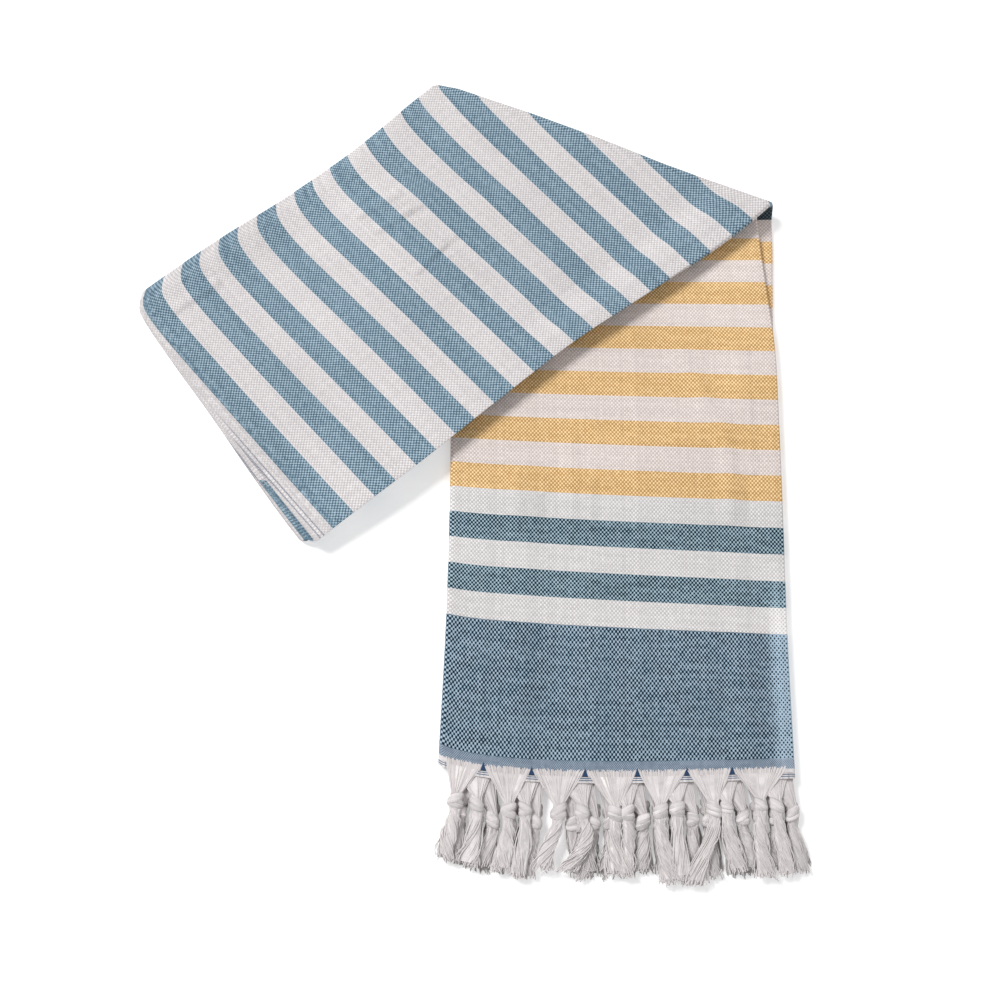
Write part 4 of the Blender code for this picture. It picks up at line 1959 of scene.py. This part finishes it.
class YarnTree(Nodes):
    """Geometry Nodes that lay yarns along guides."""

    SIZES = {"Yarn Radius": 0.00038, "Frizz Scale": 90.0}

    def __init__(self, material: bpy.types.Material) -> None:
        """Build the tree.

        Args:
            material: Finish of the yarns.
        """
        tree = bpy.data.node_groups.new("yarns_on_guides", "GeometryNodeTree")
        face = tree.interface
        face.new_socket("Geometry", in_out="INPUT", socket_type="NodeSocketGeometry")
        self.keys = {}
        for name, size in self.SIZES.items():
            socket = face.new_socket(name, in_out="INPUT", socket_type="NodeSocketFloat")
            socket.default_value = size
            self.keys[name] = socket.identifier
        face.new_socket("Geometry", in_out="OUTPUT", socket_type="NodeSocketGeometry")
        super().__init__(tree)
        self.inputs = self.add("NodeGroupInput")
        yarns = self.bundles()
        mesh = self.tubes(yarns)
        mesh = self.add("GeometryNodeSetShadeSmooth", Geometry=mesh).outputs[0]
        mesh = self.add("GeometryNodeRealizeInstances", Geometry=mesh).outputs[0]
        mesh = self.add("GeometryNodeSetMaterial", Geometry=mesh, Material=material).outputs[0]
        output = self.add("NodeGroupOutput")
        tree.links.new(mesh, output.inputs[0])

    def attribute(self, name: str, kind: str = "FLOAT") -> Value:
        """A named attribute of the guides."""
        node = self.add("GeometryNodeInputNamedAttribute", {"data_type": kind}, Name=name)
        return self.value(node, "Attribute")

    def chance(self, low: float, high: float, seed: int) -> Value:
        """A random number for each yarn.

        Args:
            low: Its least value.
            high: Its greatest value.
            seed: A fixed seed.

        Returns:
            The number.
        """
        inputs = {"Min_001": low, "Max_001": high, "ID": self.attribute("yarn", "INT"), "Seed": seed}
        node = self.add("FunctionNodeRandomValue", {"data_type": "FLOAT"}, **inputs)
        return self.named(node, "Value_001")

    def store(self, geometry: Input, name: str, value: Input, domain: str, kind: str = "FLOAT") -> Input:
        """Keep a value as a named attribute.

        Args:
            geometry: What to keep it on.
            name: Name of the attribute.
            value: Its value.
            domain: Where it lives.
            kind: Its type.

        Returns:
            The geometry with it.
        """
        settings = {"data_type": kind, "domain": domain}
        inputs = {"Geometry": geometry, "Name": name, "Value": value}
        return self.add("GeometryNodeStoreNamedAttribute", settings, **inputs).outputs[0]

    def bundles(self) -> Input:
        """Repeat each guide for its yarns and move each yarn to its place in the bundle.

        Returns:
            The curves of the yarns.
        """
        curve = self.add("GeometryNodeMeshToCurve", Mesh=self.inputs.outputs["Geometry"]).outputs[0]
        copies = self.add(
            "GeometryNodeDuplicateElements",
            {"domain": "SPLINE"},
            Geometry=curve,
            Amount=self.attribute("yarns", "INT"),
        )
        place = (Value(self, copies.outputs[1]) + 0.5) / self.attribute("yarns", "INT") * 2.0 - 1.0
        curve = self.store(copies.outputs[0], "place", place, "CURVE")
        index = self.add("GeometryNodeInputIndex").outputs[0]
        curve = self.store(curve, "yarn", index, "CURVE", "INT")
        moved = self.add("GeometryNodeSetPosition", Geometry=curve, Position=self.target()).outputs[0]
        start = self.chance(0.0, 0.024, 12)
        end = 1.0 - self.attribute("cut") * self.chance(0.0, 1.0, 11)
        settings = {"mode": "FACTOR"}
        trimmed = self.add("GeometryNodeTrimCurve", settings, Curve=moved, Start=start, End=end).outputs[0]
        along = self.value(self.add("GeometryNodeSplineParameter"), "Length")
        return self.store(trimmed, "along", along, "POINT")

    def strands(self) -> tuple[Value, Value]:
        """The yarn's place in its bundle, from -1 to 1 each way, gathered into four strands.

        Returns:
            Its places across the bundle and over it.
        """
        place = self.attribute("place")
        rope = self.attribute("rope")
        loose = place + self.chance(-0.03, 0.03, 5)
        level = (1.0 - place * place).maximum(0.0) ** 0.5 * self.chance(-1.0, 1.0, 3)
        quarter = ((place + 1.0) * 2.0).floor() - 1.5
        outer = quarter.absolute() > 1.0
        hand = (quarter > 0.0) * 2.0 - 1.0
        around = self.chance(0.0, 2 * math.pi, 31)
        reach = self.chance(0.0, 1.0, 32) ** 0.5 * 0.56
        strand = 0.48 * outer * hand + reach * around.cos()
        raised = -0.48 * (1.0 - outer) * hand + reach * around.sin()
        return loose + (strand - loose) * rope, level + (raised - level) * rope

    def target(self) -> Value:
        """Where each point of a yarn lies: beside its guide, and not below the floor.

        Returns:
            The position.
        """
        across, over = self.strands()
        turn = self.attribute("twist")
        x = self.attribute("half_width") * (turn.cos() * across - turn.sin() * over)
        y = self.attribute("half_height") * (turn.sin() * across + turn.cos() * over)
        side = self.vector("SCALE", self.attribute("side", "FLOAT_VECTOR"), scale=x)
        up = self.vector("SCALE", self.attribute("over", "FLOAT_VECTOR"), scale=y)
        position = self.value(self.add("GeometryNodeInputPosition"))
        jumps = [self.chance(-9.0, 9.0, seed) for seed in (21, 22, 23)]
        at = self.vector("ADD", position, self.combine(*jumps))
        scale = self.inputs.outputs["Frizz Scale"]
        noise = self.add("ShaderNodeTexNoise", Vector=at, Scale=scale, Detail=1.0).outputs["Color"]
        stray = self.vector("SUBTRACT", noise, (0.5, 0.5, 0.5))
        wild = 1.6 + 6.0 * self.chance(0.0, 1.0, 33) ** 8.0
        stray = self.vector("SCALE", stray, scale=self.attribute("frizz") * wild)
        place = self.vector("ADD", self.vector("ADD", position, side), self.vector("ADD", up, stray))
        parts = self.add("ShaderNodeSeparateXYZ", Vector=place)
        raised = self.value(parts, "Z").maximum(self.inputs.outputs["Yarn Radius"])
        return self.combine(self.value(parts, "X"), self.value(parts, "Y"), raised)

    def tubes(self, curves: Input) -> Input:
        """Give the yarns their thickness.

        Args:
            curves: Their curves.

        Returns:
            Their mesh.
        """
        ring = self.add("GeometryNodeCurvePrimitiveCircle", {"mode": "RADIUS"}, Resolution=4, Radius=1.0)
        around = self.value(self.add("GeometryNodeSplineParameter"), "Factor")
        ring = self.store(ring.outputs[0], "around", around, "POINT")
        mesh = self.add(
            "GeometryNodeCurveToMesh",
            Curve=curves,
            Profile_Curve=ring,
            Scale=self.inputs.outputs["Yarn Radius"],
            Fill_Caps=True,
        )
        return mesh.outputs[0]


TOP_LAYER = (
    Lie(0.0053, 0.0314, 0.0134, -0.0060, 0.0650),
    Lie(0.0320, 0.0652, 0.0500, -0.0046, 0.0645),
    Lie(0.0658, 0.1025, 0.0845, -0.0099, 0.0620),
    Lie(0.1031, 0.1391, 0.1239, 0.0, 0.0655),
    Lie(0.1397, 0.1736, 0.1549, 0.0067, 0.0735),
    Lie(0.1742, 0.2053, 0.1918, -0.0130, 0.0755),
    Lie(0.2059, 0.2447, 0.2246, 0.0021, 0.0740),
)


@dataclass
class Fringe:
    """The fringe of one end of the cloth, with its narrow heading.

    Attributes:
        strip: The folds.
        ply: Which end.
        name: Name of the piece.
        node: The CAD node that it replaces.
        heading_from: Where the heading starts, from the cloth's edge.
        heading_to: Where it ends.
        root_from: Where the first tassel's root starts, from the middle fold.
        root_to: Where the last one's ends.
        count: Tassels in a panel.
        shift: How far the tassels lie to one side of their roots.
        slot: How far those of neighbouring layers lie apart.
        parting: Where the tips part, from the middle fold.
        parting_push: How far they part.
        parting_width: How far from there it is felt.
        curled: Layer and number of the tassel that curls back under its neighbour.
        shorter: How much shorter the tails near the middle fold are.
        shorter_to: How far from that fold they are so.
        rib: Width of a rib of the heading.
    """

    strip: FoldedStrip
    ply: Ply
    name: str
    node: str
    heading_from: float = 0.0003
    heading_to: float = 0.0043
    root_from: float = 0.0058
    root_to: float = 0.2478
    count: int = 7
    shift: float = 0.0050
    slot: float = 0.0114
    parting: float = 0.0840
    parting_push: float = 0.0150
    parting_width: float = 0.0140
    curled: tuple[int, int] = (6, 2)
    shorter: float = 0.0055
    shorter_to: float = 0.1560
    rib: float = 0.0014

    def layers(self) -> tuple[int, ...]:
        """Layers of the stack that this end's tassels come from."""
        return (0, 3, 4, 7) if self.ply is Ply.FIRST else (1, 2, 5, 6)

    def tassel(self, layer: int, number: int, chance: np.random.Generator) -> Tassel:
        """One tassel, where the CAD has it; the top layer follows its own table.

        Args:
            layer: Layer of the stack.
            number: Its number from the middle fold.
            chance: Source of random numbers.

        Returns:
            The tassel.
        """
        pitch = (self.root_to - self.root_from) / self.count
        low = self.root_from + number * pitch + 0.0004
        high = low + pitch - 0.0008
        place = PLACES[layer]
        knot = (low + high) / 2 + self.shift + place.slot * self.slot
        spread = 0.008 * (2 * knot / self.strip.cloth.strip_width - 1)
        off = knot - self.parting
        push = math.copysign(self.parting_push, off) * math.exp(-((off / self.parting_width) ** 2))
        lean = spread + 0.6 * push + chance.uniform(-0.003, 0.003)
        knot = knot + 0.6 * push
        curl = chance.uniform(-0.002, 0.002)
        length = 0.0710 * (1 + 0.04 * math.sin(2.4 * number + layer))
        length = length - self.shorter * float(1 - smooth((knot - self.shorter_to) / 0.020 + 0.5))
        if (layer, number) == self.curled:
            lean, curl = -0.0110, 0.0070
        if layer == TOP:
            low, high, knot, lean, length = TOP_LAYER[number]
        knot_out = place.knot_out + chance.uniform(-0.0012, 0.0012)
        size = chance.uniform(0.90, 1.12)
        hand = float(chance.choice((-1, 1)))
        slants = (hand * chance.uniform(0.3, 0.75), hand * chance.uniform(-0.35, 0.45))
        turns = float(chance.choice((-1, 1)) * chance.uniform(0.3, 1.0))
        flare = place.flare * chance.uniform(0.9, 1.35)
        return Tassel(
            strip=self.strip,
            layer=layer,
            low=low,
            high=high,
            knot=knot,
            knot_out=knot_out,
            size=size,
            slants=slants,
            lean=lean,
            curl=curl,
            length=length,
            yarns=place.yarns,
            turns=turns,
            flare=flare,
        )

    def guide_mesh(self, guides: Sequence[Guide]) -> bpy.types.Object:
        """Write the guides as chains of edges with their sizes as attributes.

        Args:
            guides: The guides.

        Returns:
            A helper object.
        """
        mesh = bpy.data.meshes.new(self.name + "_guides")
        starts = np.cumsum([0] + [len(guide.points) for guide in guides])
        edges = [
            (k, k + 1)
            for guide, start in zip(guides, starts)
            for k in range(start, start + len(guide.points) - 1)
        ]
        mesh.from_pydata(np.concatenate([guide.points for guide in guides]).tolist(), edges, [])
        for title in ("side", "over"):
            rows = np.concatenate([getattr(guide, title) for guide in guides])
            layer = mesh.attributes.new(title, "FLOAT_VECTOR", "POINT")
            layer.data.foreach_set("vector", rows.astype(np.float32).ravel())
        for title in ("half_width", "half_height", "twist", "rope", "frizz"):
            rows = np.concatenate([getattr(guide, title) for guide in guides])
            self.keep(mesh, title, "FLOAT", rows.astype(np.float32))
        for title, kind in (("cut", "FLOAT"), ("yarns", "INT")):
            rows = np.concatenate([np.full(len(g.points), getattr(g, title)) for g in guides])
            self.keep(mesh, title, kind, rows)
        return linked(mesh.name, mesh)

    def keep(self, mesh: bpy.types.Mesh, title: str, kind: str, rows: np.ndarray) -> None:
        """Store one number for each point."""
        mesh.attributes.new(title, kind, "POINT").data.foreach_set("value", rows)

    def heading(self) -> Surface:
        """The narrow heading that the tassels come from.

        Returns:
            Its surface, with both UV maps.
        """
        cloth = self.strip.cloth
        s = Towel(self.strip, hidden_columns=8, shown_columns=20, side_steps=8, middle_steps=10).columns()
        v = np.array((-self.heading_to, -self.heading_from))
        t = v if self.ply is Ply.FIRST else 2 * cloth.half - v[::-1]
        grid = SheetGrid(self.strip, s, np.broadcast_to(t[None, :, None], (2, 2, len(s))))
        faces, rims = grid.faces(), grid.rims()
        quads = np.concatenate((faces, rims))
        layout = sheet_layout(grid, faces, rims) * (1.0, 0.04) + (0.0, 0.955)
        ribs = -1.0 - np.broadcast_to(s / self.rib, grid.t.shape)
        places = np.stack((ribs, -grid.v), axis=-1).reshape(-1, 2)[quads.ravel()]
        return Surface(grid.points, [tuple(q) for q in quads.tolist()], {"yarn": places, "OFBake": layout})

    def tassels(self) -> list[Tassel]:
        """All the tassels of this end."""
        chance = np.random.default_rng(20 + self.ply.value)
        return [self.tassel(layer, k, chance) for layer in self.layers() for k in range(self.count)]

    def yarn_mesh(self, material: bpy.types.Material, guides: Sequence[Guide]) -> bpy.types.Mesh:
        """Lay the yarns along the guides and keep them as a plain mesh.

        Args:
            material: Their finish.
            guides: The guides.

        Returns:
            The mesh.
        """
        helper = self.guide_mesh(guides)
        tree = YarnTree(material)
        modifier = helper.modifiers.new("yarns", "NODES")
        modifier.node_group = tree.tree
        for name, size in YarnTree.SIZES.items():
            modifier[tree.keys[name]] = size
        graph = bpy.context.evaluated_depsgraph_get()
        mesh = bpy.data.meshes.new_from_object(helper.evaluated_get(graph))
        helper.modifiers.remove(modifier)
        bpy.data.objects.remove(helper)
        return mesh

    def unwrap(self, mesh: bpy.types.Mesh) -> None:
        """Give the yarns their UV maps from the values kept on them.

        Args:
            mesh: The mesh of the yarns.
        """
        corners = np.empty(len(mesh.loops), np.int32)
        mesh.loops.foreach_get("vertex_index", corners)
        values = {}
        for title in ("around", "along", "yarn"):
            layer = mesh.attributes[title]
            kind = np.int32 if layer.data_type == "INT" else np.float32
            rows = np.empty(len(mesh.vertices), kind)
            layer.data.foreach_get("value", rows)
            values[title] = rows[corners].astype(np.float64)
        around = values["around"]
        starts = np.empty(len(mesh.polygons), np.int32)
        mesh.polygons.foreach_get("loop_start", starts)
        most = np.maximum.reduceat(around, starts)
        totals = np.diff(np.append(starts, len(corners)))
        around = np.where((around < 0.3) & (np.repeat(most, totals) > 0.7), around + 1.0, around)
        number = values["yarn"]
        columns = 160
        rows = math.ceil((number.max() + 1) / columns)
        share = values["along"] / values["along"].max()
        across = (number % columns + 0.1 + 0.8 * around) / columns
        down = (number // columns + 0.02 + 0.96 * share) / rows * 0.88
        maps = {
            "yarn": np.stack((number + around * 0.999, values["along"]), axis=-1),
            "OFBake": np.stack((across, down), axis=-1),
        }
        write_uvs(mesh, maps)

    def build(self, finish: FringeYarn) -> bpy.types.Object:
        """Make the heading and the yarns, as one piece.

        Args:
            finish: Finish of the yarn.

        Returns:
            The fringe.
        """
        material = finish.material()
        tassels = self.tassels()
        bodies = [tassel.body() for tassel in tassels]
        yarns = self.yarn_mesh(material, bodies)
        self.unwrap(yarns)
        rolls = [roll for tassel, body in zip(tassels, bodies) for roll in tassel.rolls(body)]
        solids = [roll.surface(2000 + 10 * k, (k, len(rolls))) for k, roll in enumerate(rolls)]
        for title in [a.name for a in yarns.attributes if a.domain == "POINT" and a.name != "position"]:
            yarns.attributes.remove(yarns.attributes[title])
        obj = gathered([self.heading()] + solids).to_object(self.name, 50)
        obj.data.materials.append(material)
        extra = linked(self.name + "_yarns", yarns)
        with bpy.context.temp_override(active_object=obj, selected_editable_objects=[obj, extra]):
            bpy.ops.object.join()
        return obj

    def dress(self, obj: bpy.types.Object) -> None:
        """Args:
            obj: The fringe.
        """
        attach(obj, "root")
        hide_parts(self.node)


# Studio


@dataclass
class Studio:
    """Floor, lights and camera.

    Attributes:
        floor_size: Side of the floor.
        camera_place: Where the camera stands.
        camera_tilt: How far it leans from straight down, in degrees.
        lens: Its focal length in millimetres, for a sensor 36 mm wide.
    """

    floor_size: float = 8.0
    camera_place: tuple[float, float, float] = (0.03102, -0.26096, 0.77643)
    camera_tilt: float = 16.0
    lens: float = 38.16

    def floor(self, finish: PaleFloor) -> bpy.types.Object:
        """Lay the floor.

        Args:
            finish: Its finish.

        Returns:
            The floor.
        """
        half = self.floor_size / 2
        mesh = bpy.data.meshes.new("studio_floor")
        corners = [(-half, -half, 0.0), (half, -half, 0.0), (half, half, 0.0), (-half, half, 0.0)]
        mesh.from_pydata(corners, [], [(0, 1, 2, 3)])
        mesh.materials.append(finish.material())
        obj = linked("studio_floor", mesh)
        return obj

    def lamp(self, name: str, place: tuple[float, float, float], size: float, power: float) -> None:
        """Hang a soft lamp that looks at the towel.

        Args:
            name: Its name.
            place: Where it hangs.
            size: Side of its square.
            power: Its power in watts.
        """
        light = bpy.data.lights.new(name, "AREA")
        light.shape = "SQUARE"
        light.size = size
        light.energy = power
        obj = linked(name, light)
        obj.location = place
        far = math.hypot(place[0], place[1])
        obj.rotation_euler = (math.atan2(far, place[2]), 0.0, math.atan2(place[0], -place[1]))

    def camera(self) -> None:
        """Set the camera up as in the photograph."""
        camera = bpy.data.cameras.new("camera")
        camera.lens = self.lens
        camera.sensor_width = 36.0
        obj = linked("camera", camera)
        obj.location = self.camera_place
        obj.rotation_euler = (math.radians(self.camera_tilt), 0.0, 0.0)
        bpy.context.scene.camera = obj

    def build(self, finish: PaleFloor) -> bpy.types.Object:
        """Lay the floor, light it and set the camera up.

        Args:
            finish: Finish of the floor.

        Returns:
            The floor.
        """
        floor = self.floor(finish)
        self.lamp("key", (-1.3, 1.0, 2.1), 0.8, 57.0)
        self.lamp("fill", (1.2, -0.9, 2.2), 1.6, 9.0)
        world = bpy.data.worlds.new("studio")
        world.use_nodes = True
        sky = world.node_tree.nodes["Background"]
        sky.inputs["Color"].default_value = (1.0, 1.0, 1.0, 1.0)
        sky.inputs["Strength"].default_value = 0.43
        bpy.context.scene.world = world
        bpy.context.scene.view_settings.view_transform = "Standard"
        self.camera()
        return floor


def report(obj: bpy.types.Object) -> None:
    """Log one piece with its triangles."""
    triangles = sum(len(polygon.vertices) - 2 for polygon in obj.data.polygons)
    LOG.info("%s: %d triangles", obj.name, triangles)


def main() -> None:
    """Build the towel, its fringes and the studio."""
    logging.basicConfig(level=logging.INFO, format="%(name)s: %(message)s")
    strip = FoldedStrip()
    floor = Studio().build(PaleFloor())
    towel = Towel(strip)
    cloth = towel.build()
    towel.dress(cloth, StripedCotton())
    report(cloth)
    fringes = (
        Fringe(strip, Ply.FIRST, "first_fringe", "fringe_first_end"),
        Fringe(strip, Ply.SECOND, "second_fringe", "fringe_second_end"),
    )
    for fringe in fringes:
        obj = fringe.build(FringeYarn())
        fringe.dress(obj)
        report(obj)
    flat = (CLOTH.width, 2 * CLOTH.half)


if __name__ == "__main__":
    main()
